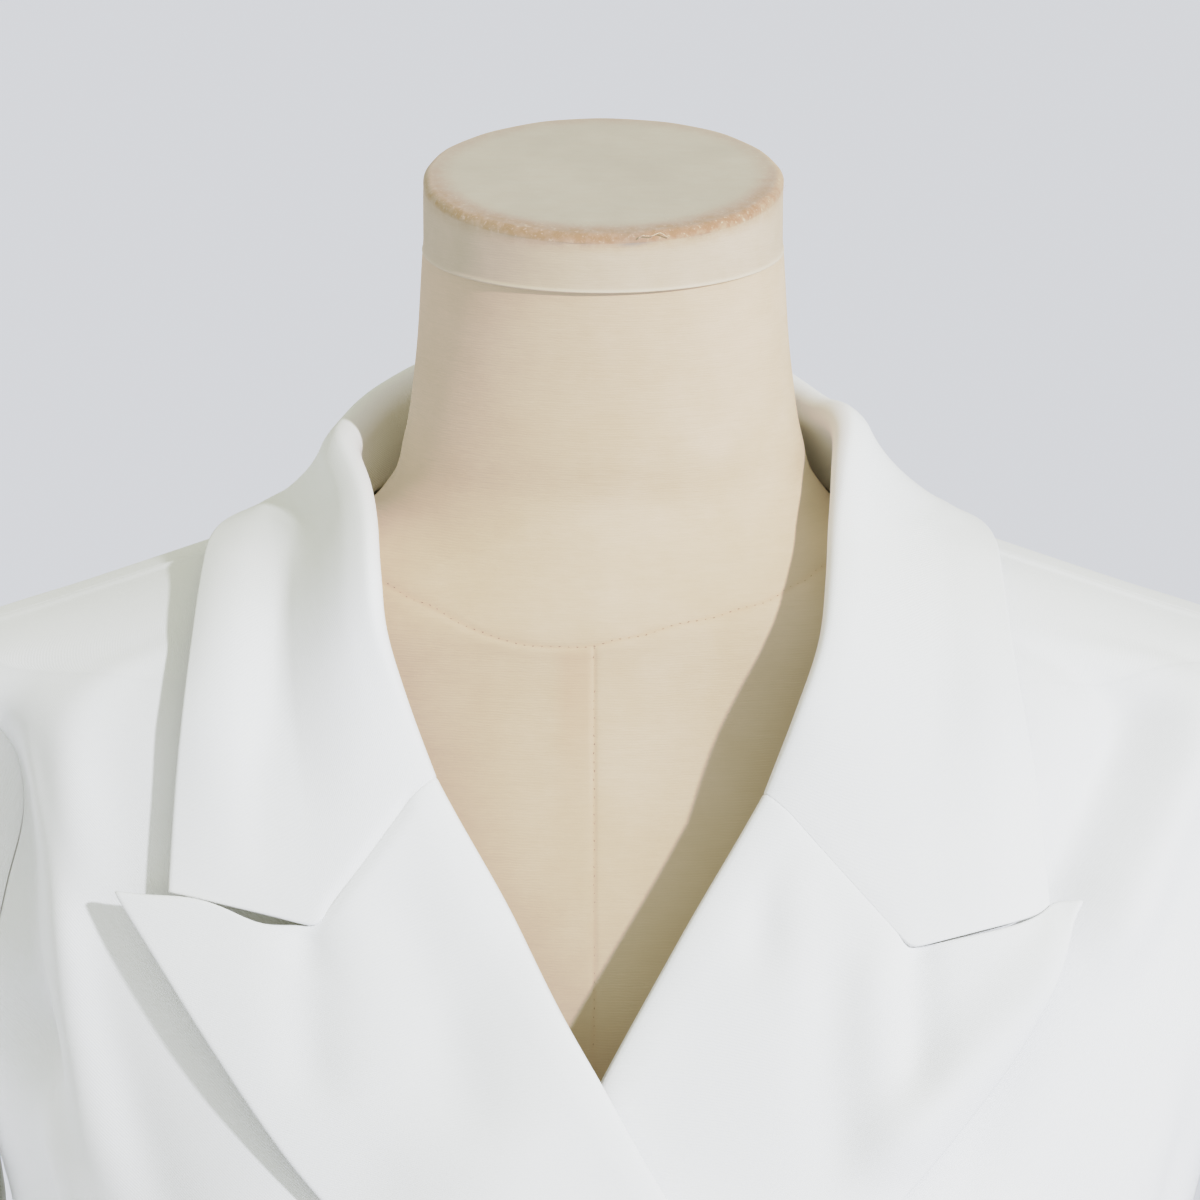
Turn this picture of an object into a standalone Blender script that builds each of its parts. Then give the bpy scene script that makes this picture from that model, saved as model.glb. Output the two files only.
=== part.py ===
"""A white double-breasted blazer on a limbless linen dress form."""

import math

import bpy
import numpy as np
from mathutils import Vector

# ---------------------------------------------------------------- sizes, in metres

WALL = 0.002  # cloth with its interlining
SEAM_GAP = 0.0003  # between two pieces where they are sewn together
HEM_Z = 0.100
ARMPIT_Z = 0.572
TIP_Z = 0.7247  # end of the shoulder seam
NECK_POINT_Z = 0.7625  # where the shoulder seam meets the neckline
NAPE_Z = 0.780
BREAK_Z = 0.485  # foot of the roll line
GORGE_Z = 0.7005  # top of the roll line, where the collar begins
OVERLAP = 0.080  # from the centre front to each front edge
STACK = 0.0034  # from one layer of cloth to the next one lying on it
ROLL_RADIUS = 0.0030  # of the lapel's and the collar's fold
BREAK_RADIUS = 0.0018  # of the same fold at its foot
SIDE_Y = 0.005  # the side seams and shoulder seams lie in this plane

BUTTON_RADIUS = 0.0125
BUTTON_THICKNESS = 0.004
BUTTON_GAP = 0.0006  # between a button and the cloth
BUTTON_X = 0.058
BUTTON_ROWS = (0.450, 0.362, 0.274)

BASE_THICKNESS = 0.018
NECK_TOP_Z = 0.8405
CAP_GAP = 0.0003
CAP_RADIUS = 0.0520
CAP_HEIGHT = 0.0245
CAP_CENTRE_Y = 0.004
SEAM_SLANT = 0.094  # rise of the cap's lower edge for each metre towards the back
TOP_SLANT = 0.200  # rise of its top

WHITE_CLOTH = (0.80, 0.80, 0.81)
BUTTON_WHITE = (0.82, 0.82, 0.80)
LINEN = (0.62, 0.53, 0.42)
CAP_LINEN = (0.55, 0.49, 0.40)
BOARD = (0.50, 0.38, 0.25)


def table(names, *rows):
    """A table with named columns, its rows ordered by the first one."""
    return dict(zip(names.split(), np.array(rows, float).T))


# Rings of the cloth, at the middle of its thickness: half width, depth in front and
# behind the side seams, and how square the ring is (2 is an ellipse).
BODY = table(
    "z width front back square",
    (0.100, 0.189, 0.132, 0.130, 2.3),
    (0.200, 0.184, 0.133, 0.130, 2.3),
    (0.300, 0.165, 0.125, 0.108, 2.3),
    (0.400, 0.150, 0.115, 0.082, 2.3),
    (0.470, 0.157, 0.123, 0.091, 2.3),
    (0.545, 0.172, 0.136, 0.105, 2.3),
    (0.572, 0.178, 0.131, 0.109, 2.3),
    (0.600, 0.188, 0.1215, 0.112, 2.3),
    (0.650, 0.200, 0.1045, 0.110, 2.3),
    (0.690, 0.199, 0.0890, 0.105, 2.3),
    (0.7247, 0.1926, 0.0755, 0.0955, 2.3),
    (0.735, 0.1614, 0.0705, 0.0910, 2.25),
    (0.743, 0.1371, 0.0640, 0.0865, 2.2),
    (0.7525, 0.1084, 0.0548, 0.0805, 2.15),
    (0.7605, 0.0841, 0.0430, 0.0750, 2.1),
    (0.7645, 0.0720, 0.0370, 0.0720, 2.1),
    (0.772, 0.0715, 0.0340, 0.0665, 2.1),
    (0.782, 0.0700, 0.0320, 0.0640, 2.1),
)

# The armhole seam, from the armpit to the end of the shoulder seam.
ARMHOLE = table(
    "z front_x back_x",
    (0.572, 0.1780, 0.1780),
    (0.578, 0.1788, 0.1788),
    (0.588, 0.1797, 0.1797),
    (0.605, 0.1802, 0.1800),
    (0.635, 0.1790, 0.1787),
    (0.662, 0.1762, 0.1772),
    (0.690, 0.1712, 0.1757),
    (0.706, 0.1740, 0.1775),
    (0.718, 0.1830, 0.1840),
    (0.7247, 0.1926, 0.1926),
)

# The fold line of the lapel, from its foot to the gorge.
ROLL = table(
    "z x",
    (0.485, -0.0800),
    (0.540, -0.0490),
    (0.5965, -0.0165),
    (0.6268, 0.0003),
    (0.6655, 0.0232),
    (0.7015, 0.0456),
    (0.730, 0.0610),
)

# The neckline of the front, from the gorge to the shoulder seam.
FRONT_NECK = table(
    "z x",
    (0.6960, 0.0455),
    (0.7005, 0.0485),
    (0.720, 0.0605),
    (0.735, 0.0680),
    (0.743, 0.0710),
    (0.7525, 0.0735),
    (0.7595, 0.0755),
    (0.7625, 0.0780),
)

# The neckline of the back, from the shoulder seam to the nape.
BACK_NECK = table(
    "angle z",
    (90, 0.7625),
    (110, 0.7665),
    (135, 0.7735),
    (160, 0.7787),
    (180, 0.7800),
)

# The lapel's edge, from its foot to the peak.
LAPEL_EDGE = table(
    "up x z",
    (0.00, -0.0620, 0.4985),
    (0.18, -0.0290, 0.5130),
    (0.38, 0.0210, 0.5440),
    (0.62, 0.0780, 0.5924),
    (0.80, 0.1075, 0.6300),
    (1.00, 0.1368, 0.6696),
)

# Where the two halves differ: how far the lapel and the collar's front hang down
# and spread out, and the corners of the notch in (x, z).
DROP = {-1: 0.0, 1: 0.0045}
SPREAD = {-1: 0.0, 1: 0.0030}
NOTCH = {-1: (0.0808, 0.6651), 1: (0.0867, 0.6603)}
PEAK = {-1: (0.1368, 0.6696), 1: (0.1399, 0.6648)}
COLLAR_CORNER = {-1: (0.1211, 0.6725), 1: (0.1256, 0.6669)}

# The collar, from the gorge round to the centre back: its seam on the neckline (by its
# height in front of the shoulder seam and its angle behind), its fold and its edge.
COLLAR = table(
    "step seam_z seam_angle fold_x fold_y fold_z edge_x edge_y edge_z sag",
    (0, 0.7005, 11, 0.0462, -0.0844, 0.7028, 0.1211, -0.0842, 0.6725, 0.0000),
    (1, 0.7200, 15, 0.0551, -0.0760, 0.7243, 0.1180, -0.0747, 0.7013, 0.0000),
    (2, 0.7350, 22, 0.0618, -0.0640, 0.7417, 0.1159, -0.0675, 0.7226, 0.0000),
    (3, 0.7440, 30, 0.0643, -0.0500, 0.7565, 0.1142, -0.0489, 0.7415, 0.0010),
    (4, 0.7530, 42, 0.0660, -0.0340, 0.7690, 0.1136, -0.0260, 0.7516, 0.0020),
    (5, 0.7595, 59, 0.0685, -0.0190, 0.7780, 0.1135, -0.0070, 0.7548, 0.0030),
    (6, 0.7625, 90, 0.0740, 0.0020, 0.7870, 0.1105, 0.0140, 0.7560, 0.0035),
    (7, 0.7625, 113, 0.0745, 0.0200, 0.7895, 0.1030, 0.0350, 0.7545, 0.0030),
    (8, 0.7625, 135, 0.0650, 0.0400, 0.7945, 0.0860, 0.0590, 0.7530, 0.0015),
    (9, 0.7625, 158, 0.0420, 0.0580, 0.8010, 0.0500, 0.0800, 0.7520, 0.0000),
    (10, 0.7625, 180, 0.0000, 0.0670, 0.8070, 0.0000, 0.0890, 0.7515, 0.0000),
)

# The sleeve below its cap: middle of the tube and its half sizes.
SLEEVE = table(
    "z x y half_x half_y",
    (0.145, 0.2270, -0.034, 0.0245, 0.056),
    (0.250, 0.2230, -0.018, 0.0270, 0.060),
    (0.350, 0.2185, -0.005, 0.0300, 0.065),
    (0.450, 0.2160, 0.003, 0.0320, 0.069),
    (0.545, 0.2155, 0.006, 0.0340, 0.072),
)

# Rings of the form.
FORM = table(
    "z width front back square",
    (0.0183, 0.150, 0.098, 0.098, 2.2),
    (0.100, 0.164, 0.106, 0.113, 2.2),
    (0.200, 0.170, 0.110, 0.118, 2.2),
    (0.300, 0.148, 0.104, 0.096, 2.2),
    (0.395, 0.122, 0.090, 0.069, 2.2),
    (0.470, 0.136, 0.103, 0.079, 2.2),
    (0.545, 0.152, 0.119, 0.092, 2.2),
    (0.600, 0.162, 0.101, 0.098, 2.2),
    (0.660, 0.168, 0.0805, 0.096, 2.2),
    (0.700, 0.169, 0.0655, 0.089, 2.1),
    (0.718, 0.1665, 0.0605, 0.082, 2.0),
    (0.7265, 0.1625, 0.0585, 0.078, 2.0),
    (0.735, 0.1564, 0.0570, 0.074, 1.9),
    (0.7455, 0.1245, 0.0520, 0.070, 1.8),
    (0.755, 0.0958, 0.0480, 0.066, 1.75),
    (0.7625, 0.0731, 0.0455, 0.0625, 1.85),
    (0.772, 0.0612, 0.0430, 0.0590, 2.0),
    (0.785, 0.0573, 0.0445, 0.0555, 2.0),
    (0.805, 0.0548, 0.0460, 0.0535, 2.0),
    (0.8405, 0.0522, 0.0525, 0.0515, 2.0),
)

# ---------------------------------------------------------------- helpers


def smooth(columns, name, at):
    """A column of a table at any place of its first column, on a smooth curve."""
    steps = next(iter(columns.values()))
    values = columns[name]
    slopes = np.gradient(values, steps)
    at = np.clip(at, steps[0], steps[-1])
    low = np.clip(np.searchsorted(steps, at, side="right") - 1, 0, len(steps) - 2)
    span = steps[low + 1] - steps[low]
    t = (at - steps[low]) / span
    rise = values[low + 1] - values[low]
    bend_low = slopes[low] * span - rise
    bend_high = slopes[low + 1] * span - rise
    return values[low] + rise * t + t * (1 - t) * (bend_low * (1 - t) - bend_high * t)


def ease(t):
    """0 below 0, 1 above 1 and smooth between."""
    t = np.clip(t, 0.0, 1.0)
    return t * t * (3 - 2 * t)


def unit(vectors):
    return vectors / np.linalg.norm(vectors, axis=-1, keepdims=True)


def span(start, end, count):
    return np.linspace(start, end, count)


# ---------------------------------------------------------------- the shape of the cloth


def ring_point(rings, angle, z):
    """The point of a ring at an angle from the centre front, in radians."""
    power = 2 / smooth(rings, "square", z)
    aside = np.sin(angle)
    ahead = np.cos(angle)
    depth = np.where(ahead > 0, smooth(rings, "front", z), smooth(rings, "back", z))
    x = smooth(rings, "width", z) * np.sign(aside) * np.abs(aside) ** power
    y = SIDE_Y - depth * np.sign(ahead) * np.abs(ahead) ** power
    return np.stack(np.broadcast_arrays(x, y, z), axis=-1)


def angle_at(x, z):
    """The angle at which the front of a ring has this x."""
    share = np.clip(np.abs(x) / smooth(BODY, "width", z), 0, 1)
    return np.sign(x) * np.arcsin(share ** (smooth(BODY, "square", z) / 2))


def fold_depth(folds, angle, z):
    """How far soft folds press the cloth in (or out, where negative)."""
    total = np.zeros(np.broadcast(angle, z).shape)
    for start, start_z, end, end_z, depth, width in folds:
        across = 0.15 * (np.degrees(angle) - start) * math.pi / 180
        along_x = 0.15 * math.radians(end - start)
        along_z = end_z - start_z
        length = math.hypot(along_x, along_z)
        t = (across * along_x + (z - start_z) * along_z) / length**2
        aside = (across * along_z - (z - start_z) * along_x) / length
        ends = ease((t + 0.25) / 0.4) * ease((1.25 - t) / 0.4)
        total = total + depth * np.exp(-((aside / width) ** 2)) * ends
    return total


# Each fold: angle in degrees and z of its start and end, depth and half width.
FOLDS = {
    -1: (
        (56, 0.690, 50, 0.590, 0.0030, 0.012),
        (45, 0.620, 38, 0.500, 0.0022, 0.012),
        (60, 0.600, 74, 0.480, 0.0030, 0.010),
        (85, 0.460, 50, 0.415, 0.0030, 0.012),
        (80, 0.420, 54, 0.370, -0.0020, 0.010),
        (128, 0.640, 148, 0.520, 0.0035, 0.013),
        (120, 0.450, 165, 0.405, 0.0030, 0.012),
        (112, 0.395, 150, 0.375, -0.0020, 0.010),
    ),
    1: (
        (55, 0.700, 34, 0.640, 0.0030, 0.010),
        (52, 0.670, 44, 0.570, 0.0022, 0.012),
        (62, 0.600, 76, 0.470, 0.0028, 0.010),
        (88, 0.450, 50, 0.420, 0.0026, 0.012),
        (80, 0.410, 54, 0.360, -0.0022, 0.011),
        (125, 0.650, 143, 0.530, 0.0030, 0.013),
        (116, 0.460, 160, 0.400, 0.0034, 0.012),
        (110, 0.390, 155, 0.380, -0.0018, 0.010),
    ),
}


def over_lift(x, z):
    """How far the upper front stands off, over the other front and its lapel."""
    other_roll = -smooth(ROLL, "x", z + DROP[1])
    lapel_edge_z = np.interp(-x, LAPEL_EDGE["x"], LAPEL_EDGE["z"]) - DROP[1]
    on_front = STACK * ease((0.135 - x) / 0.045) * ease((0.66 - z) / 0.06)
    on_lapel = ease((other_roll + 0.055 - x) / 0.05) * ease((z - lapel_edge_z + 0.030) / 0.022)
    lapel_room = 0.0042 + 0.0020 * ease((z - 0.49) / 0.08)
    return on_front + lapel_room * on_lapel * ease((0.74 - z) / 0.06)


def body_point(side, angle, z, lifted=True):
    """The cloth at an angle and height, in the frame of one half of the body.

    The half's own side is +X. side is 1 for the under front's half and -1 for the
    upper front's half, which lies over the other where the two overlap.
    """
    point = ring_point(BODY, angle, z)
    step = 1e-4
    around = ring_point(BODY, angle + step, z) - ring_point(BODY, angle - step, z)
    upward = ring_point(BODY, angle, z + step) - ring_point(BODY, angle, z - step)
    outward = unit(np.cross(around, upward))
    rise = -fold_depth(FOLDS[side], angle, z)
    if side < 0 and lifted:
        rise = rise + over_lift(point[..., 0], z) * (np.cos(angle) > 0)
    return point + outward * rise[..., None]


def cloth_point(side, angle, z, off=0.0):
    """A point of the cloth moved out by off, and the cloth's outward direction."""
    step = 2e-4
    around = body_point(side, angle + step, z) - body_point(side, angle - step, z)
    upward = body_point(side, angle, z + step) - body_point(side, angle, z - step)
    outward = unit(np.cross(around, upward))
    return body_point(side, angle, z) + outward * np.asarray(off)[..., None], outward


def armhole_angle(z, where):
    """The angle at which the armhole seam or the side and shoulder seams lie."""
    x = smooth(ARMHOLE, where + "_x", z)
    inside = (z > ARMPIT_Z) & (z < TIP_Z)
    angle = np.where(inside, angle_at(x, z), math.pi / 2)
    return angle if where == "front" else math.pi - angle


def roll_radius(z):
    return BREAK_RADIUS + (ROLL_RADIUS - BREAK_RADIUS) * ease((z - BREAK_Z) / 0.16)


def front_edge_x(side, z):
    """The front's edge, then the roll line's seam, then the neckline."""
    slope = 0.86
    roll = smooth(ROLL, "x", z + DROP[side]) + roll_radius(z) / slope
    neck = smooth(FRONT_NECK, "x", z + DROP[side] * ease((0.76 - z) / 0.05))
    above = np.where(z < GORGE_Z - DROP[side], roll, neck)
    return np.where(z <= BREAK_Z, -OVERLAP, above)


# ---------------------------------------------------------------- walls of cloth


def mesh_object(name, points, faces, material):
    mesh = bpy.data.meshes.new(name)
    mesh.from_pydata(points.reshape(-1, 3).tolist(), [], faces)
    mesh.materials.append(material)
    mesh.shade_smooth()
    mesh.set_sharp_from_angle(angle=math.radians(50))
    part = bpy.data.objects.new(name, mesh)
    bpy.context.scene.collection.objects.link(part)
    return part


def wall_faces(rows, columns):
    """Quads of a closed wall: an outer and an inner grid joined round their edges."""
    inner = rows * columns
    faces = []
    for i in range(rows - 1):
        for j in range(columns - 1):
            a = i * columns + j
            quad = (a, a + 1, a + columns + 1, a + columns)
            faces.append(quad)
            faces.append(tuple(inner + k for k in reversed(quad)))
    rim = [j for j in range(columns)]
    rim += [i * columns + columns - 1 for i in range(1, rows)]
    rim += [(rows - 1) * columns + j for j in range(columns - 2, -1, -1)]
    rim += [i * columns for i in range(rows - 2, 0, -1)]
    for a, b in zip(rim, rim[1:] + rim[:1]):
        faces.append((b, a, inner + a, inner + b))
    return faces


def pulled_in(points, edges, gap=SEAM_GAP / 2):
    """The grid with its named edges drawn back by gap, square to the seam there."""
    points = points.copy()
    ends = {"left": (1, 0, 1), "right": (1, -1, -2), "bottom": (0, 0, 1), "top": (0, -1, -2)}
    for name in edges:
        axis, edge, beside = ends[name]
        line = np.take(points, edge, axis)
        seam = unit(np.gradient(line, axis=0))
        back = np.take(points, beside, axis) - line
        back = unit(back - seam * np.sum(back * seam, -1, keepdims=True)) * gap
        if axis:
            points[:, edge] += back
        else:
            points[edge] += back
    return points


def grid_normals(points):
    along = np.gradient(points, axis=1)
    up = np.gradient(points, axis=0)
    return unit(np.cross(along, up))


def facing_out(points):
    """The normals of a turned-over grid, which point away from its inner leg."""
    outward = grid_normals(points)
    seen = points[:, -1] - points[:, 0]
    return outward if np.sum(outward[:, -1] * seen) > 0 else -outward


def wall(name, side, points, outward, material, thickness=WALL):
    """A wall on both sides of a grid of points. A grid of the -X half is mirrored."""
    half = outward * thickness / 2
    both = np.stack([points + half, points - half])
    runs_backwards = np.sum(grid_normals(points) * outward) < 0
    if side < 0:
        both = both * (-1, 1, 1)
    if runs_backwards == (side > 0):
        both = both[:, :, ::-1]
    return mesh_object(name, both, wall_faces(*points.shape[:2]), material)


SLEEVE_AROUND = 24
ARMHOLE_ROWS = ARMPIT_Z + (TIP_Z - ARMPIT_Z) * (1 - np.cos(span(0, math.pi, SLEEVE_AROUND // 2 + 1))) / 2
FRONT_ROWS = (
    *span(HEM_Z, 0.440, 11), 0.465, BREAK_Z, 0.4875, 0.500, 0.516, 0.532, 0.550,
    *ARMHOLE_ROWS, 0.735, 0.743, 0.7525, 0.7580, 0.7612,
)
BACK_ROWS = (*span(HEM_Z, 0.440, 8), 0.475, 0.510, 0.545, *ARMHOLE_ROWS, 0.735)
BACK_NECK_ROWS = 5


def front_panel(name, side, material, columns=14):
    z = np.array(FRONT_ROWS)[:, None]
    left = angle_at(front_edge_x(side, z), z)
    right = armhole_angle(z, "front")
    angle = left + (right - left) * span(0, 1, columns)
    z = np.broadcast_to(z, angle.shape)
    points, outward = cloth_point(side, angle, z)
    points = pulled_in(points, ("right",))
    return wall(name, side, points, outward, material)


def back_panel(name, side, material, columns=11):
    z = np.array(BACK_ROWS)[:, None]
    edge = armhole_angle(z, "back")
    angle = edge + (math.pi - edge) * span(0, 1, columns)
    z = np.broadcast_to(z, angle.shape)
    above = span(0, 1, BACK_NECK_ROWS)[1:, None]
    top_angle = np.broadcast_to(angle[-1], (BACK_NECK_ROWS - 1, columns))
    neck = smooth(BACK_NECK, "z", np.degrees(angle[-1]))
    top_z = BACK_ROWS[-1] + (neck - BACK_ROWS[-1]) * above
    angle = np.concatenate([angle, top_angle])
    z = np.concatenate([z, top_z])
    points, outward = cloth_point(side, angle, z)
    points = pulled_in(points, ("left", "right"))
    return wall(name, side, points, outward, material)


# ---------------------------------------------------------------- lapels and collar


def bent_edge(share, start, corner, end):
    """Points along a line from start to end through a corner, at shares of its length."""
    start, corner, end = (np.array(p) for p in (start, corner, end))
    first = np.linalg.norm(corner - start)
    bend = first / (first + np.linalg.norm(end - corner))
    share = np.asarray(share)[..., None]
    before = start + (corner - start) * share / bend
    after = corner + (end - corner) * (share - bend) / (1 - bend)
    return np.where(share < bend, before, after), bend


LAPEL_ROWS = 17
LAPEL_FOOT_Z = 0.4930
ARC = np.radians((0, 45, 90, 135))
SHARES = 4  # columns on each side of the notch


def fall_shares(bend):
    return np.concatenate([span(0, bend, SHARES + 1), span(bend, 1, SHARES + 1)[1:]])


def rolled_edge(side, seam_x, seam_z, turns):
    """The fold over a seam line: points and outward directions at each turn."""
    seam, outward = cloth_point(side, angle_at(seam_x, seam_z), seam_z)
    along = unit(np.gradient(seam, axis=0))
    inward = unit(np.cross(outward, along))
    radius = roll_radius(seam_z)[:, None]
    turns = turns[:, None, None]
    points = seam + inward * (0.0005 + radius * np.sin(turns))
    points = points + outward * radius * (1 - np.cos(turns))
    facing = inward * np.sin(turns) - outward * np.cos(turns)
    return np.moveaxis(points, 0, 1), np.moveaxis(facing, 0, 1)


def laid_off(share, start, end):
    """How far a turned-over layer lies off the cloth below it."""
    return start + (end - start) * share**1.4 + 0.0010 * np.sin(math.pi * share)


def roll_line(side, count):
    """The seam under the lapel's roll, from its foot to the gorge."""
    z = LAPEL_FOOT_Z - DROP[side] + (GORGE_Z - LAPEL_FOOT_Z) * span(0, 1, count)
    return front_edge_x(side, z - 1e-6), z


def lapel(name, side, material):
    up = span(0, 1, LAPEL_ROWS)
    seam_x, seam_z = roll_line(side, LAPEL_ROWS)
    seam = np.stack([seam_x, seam_z], axis=-1)
    edge = np.stack([smooth(LAPEL_EDGE, n, up) for n in "xz"], axis=-1)
    edge += np.stack([SPREAD[side] * up, -DROP[side] * np.ones_like(up)], axis=-1)
    _, bend = bent_edge(0.5, seam[-1], NOTCH[side], PEAK[side])
    share = fall_shares(bend)
    top, _ = bent_edge(share, seam[-1], NOTCH[side], PEAK[side])
    straight_top = seam[-1] + (edge[-1] - seam[-1]) * share[:, None]
    follow = ease((up - 0.35) / 0.65)[:, None, None]
    flat = seam[:, None] + (edge - seam)[:, None] * share[:, None]
    flat = flat + follow * (top - straight_top)

    start_off = 2 * roll_radius(seam_z)[:, None]
    end_off = (0.0036 + 0.0044 * ease((up - 0.45) / 0.4))[:, None]
    z = flat[..., 1]
    laid, _ = cloth_point(side, angle_at(flat[..., 0], z), z, laid_off(share, start_off, end_off))
    rolled, facing = rolled_edge(side, seam_x, seam_z, ARC)
    points = np.concatenate([rolled, laid], axis=1)
    outward = facing_out(points)
    outward[:, : len(ARC)] = facing
    points = pulled_in(points, ("top",))
    return wall(name, side, points, outward, material)


def rings_gap(point):
    """How far a point lies outside the body's cloth, and the outward direction."""

    def level(p):
        z = np.clip(p[..., 2], HEM_Z, NAPE_Z)
        power = smooth(BODY, "square", z)
        depth = np.where(p[..., 1] < SIDE_Y, smooth(BODY, "front", z), smooth(BODY, "back", z))
        x = np.abs(p[..., 0]) / smooth(BODY, "width", z)
        y = np.abs(p[..., 1] - SIDE_Y) / depth
        return (x**power + y**power) ** (1 / power) - 1

    step = 1e-4
    slope = np.stack([(level(point + d) - level(point - d)) / (2 * step) for d in np.eye(3) * step], -1)
    size = np.linalg.norm(slope, axis=-1, keepdims=True)
    return level(point) / size[..., 0], slope / size


def pressed_out(points, clearance):
    """Points moved out where they would lie closer than clearance to the body's cloth."""
    softness = 0.0010
    for _ in range(3):
        gap, outward = rings_gap(points)
        short = clearance - gap
        push = softness * np.logaddexp(0, short / softness)
        points = points + outward * np.minimum(push, 0.02)[..., None]
    return points


COLLAR_STEPS = 15


def collar_half(side):
    """One half of the collar from the gorge to the centre back, and which way it faces."""
    step = span(0, 10, COLLAR_STEPS)
    row = {name: smooth(COLLAR, name, step) for name in COLLAR}
    front_share = ease(1 - step / 6)
    hang = np.stack([SPREAD[side] * 1.5 * front_share, 0 * step, -DROP[side] * front_share], -1)
    in_front = step <= 6
    seam_z = row["seam_z"] - DROP[side] * front_share
    neck_x = smooth(FRONT_NECK, "x", row["seam_z"])
    seam_angle = np.where(in_front, angle_at(neck_x, seam_z), np.radians(row["seam_angle"]))
    seam_z = np.where(in_front, seam_z, smooth(BACK_NECK, "z", row["seam_angle"]))
    seam, _ = cloth_point(side, seam_angle, seam_z)
    fold = np.stack([row["fold_x"], row["fold_y"], row["fold_z"]], -1) + hang * (0, 1, 1)
    edge = np.stack([row["edge_x"], row["edge_y"], row["edge_z"]], -1) + hang

    along = unit(np.gradient(fold, axis=0))
    falls = unit(edge - fold)
    height = np.linalg.norm(seam - fold, axis=-1, keepdims=True)
    stands = (seam - fold) / height
    crown = -unit(falls + stands * np.clip((height - 0.007) / 0.012, 0, 1))
    crown = unit(crown - along * np.sum(crown * along, -1, keepdims=True))
    flat = unit(np.cross(along, crown))
    radius = ROLL_RADIUS
    centre = fold - crown * radius
    inner_top = centre - flat * radius
    outer_top = centre + flat * radius
    seam = seam + unit(inner_top - seam) * 0.0014
    turns = ARC[1:, None, None]
    turned = centre - flat * radius * np.cos(turns) + crown * radius * np.sin(turns)
    turned_face = crown * np.sin(turns) - flat * np.cos(turns)

    seam_x, roll_z = roll_line(side, LAPEL_ROWS)
    start = (seam_x[-1], roll_z[-1])
    _, bend = bent_edge(0.5, start, NOTCH[side], COLLAR_CORNER[side])
    share = fall_shares(bend)
    end_line, _ = bent_edge(share, start, NOTCH[side], COLLAR_CORNER[side])
    end_off = laid_off(share, 2 * radius, 0.0076)
    end_angle = angle_at(end_line[:, 0], end_line[:, 1])
    end_fall, _ = cloth_point(side, end_angle, end_line[:, 1], end_off)
    end_turns = np.radians((0, 15, 30, 45, 90, 135))
    end_roll, end_face = rolled_edge(side, seam_x, roll_z, end_turns)

    fall = outer_top[:, None] + (edge - outer_top)[:, None] * share[:, None]
    sag = (row["sag"][:, None] * np.sin(math.pi * share))[..., None]
    fall = pressed_out(fall - flat[:, None] * sag, 0.0044)
    points = np.concatenate([np.stack([seam, (seam + inner_top) / 2, inner_top, *turned], 1), fall], 1)
    gorge = np.concatenate([end_roll[-1], end_fall])
    follow = ease(1 - step / 3.0)[:, None, None]
    points = points + follow * (gorge - points[:1])
    face = np.stack([-flat, -flat, -flat, *turned_face], 1)
    face = unit(face + follow * (end_face[-1:] - face[:1]))
    return points, face


def collar(name, material):
    right_half, right_face = collar_half(1)
    left_half, left_face = (grid * (-1, 1, 1) for grid in collar_half(-1))
    middle = (right_half[-1] + left_half[-1]) / 2
    points = np.concatenate([right_half[:-1], middle[None], left_half[-2::-1]])
    face = np.concatenate([right_face, left_face[-2::-1]])
    outward = facing_out(points)
    outward[:, : face.shape[1]] = face
    points = pulled_in(points, ("bottom", "top"), SEAM_GAP)
    return wall(name, 1, points, outward, material)


# ---------------------------------------------------------------- sleeves

CAP_SHARES = (0, 0.07, 0.18, 0.34, 0.52, 0.72, 1)
SLEEVE_ROWS = (0.500, 0.440, 0.385, 0.330, 0.270, 0.205, 0.145)
TOP_SLEEVE = (-7, 7)  # from its back seam to its front seam, in steps around
SLEEVE_FOLDS = (
    # height and angle of the middle, rise across, depth, half height
    (0.395, 100, 0.016, 0.0040, 0.010),
    (0.365, 75, -0.012, 0.0035, 0.009),
    (0.330, 110, 0.010, -0.0025, 0.010),
    (0.470, 80, 0.020, 0.0030, 0.011),
    (0.235, 95, 0.014, 0.0028, 0.012),
)


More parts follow.
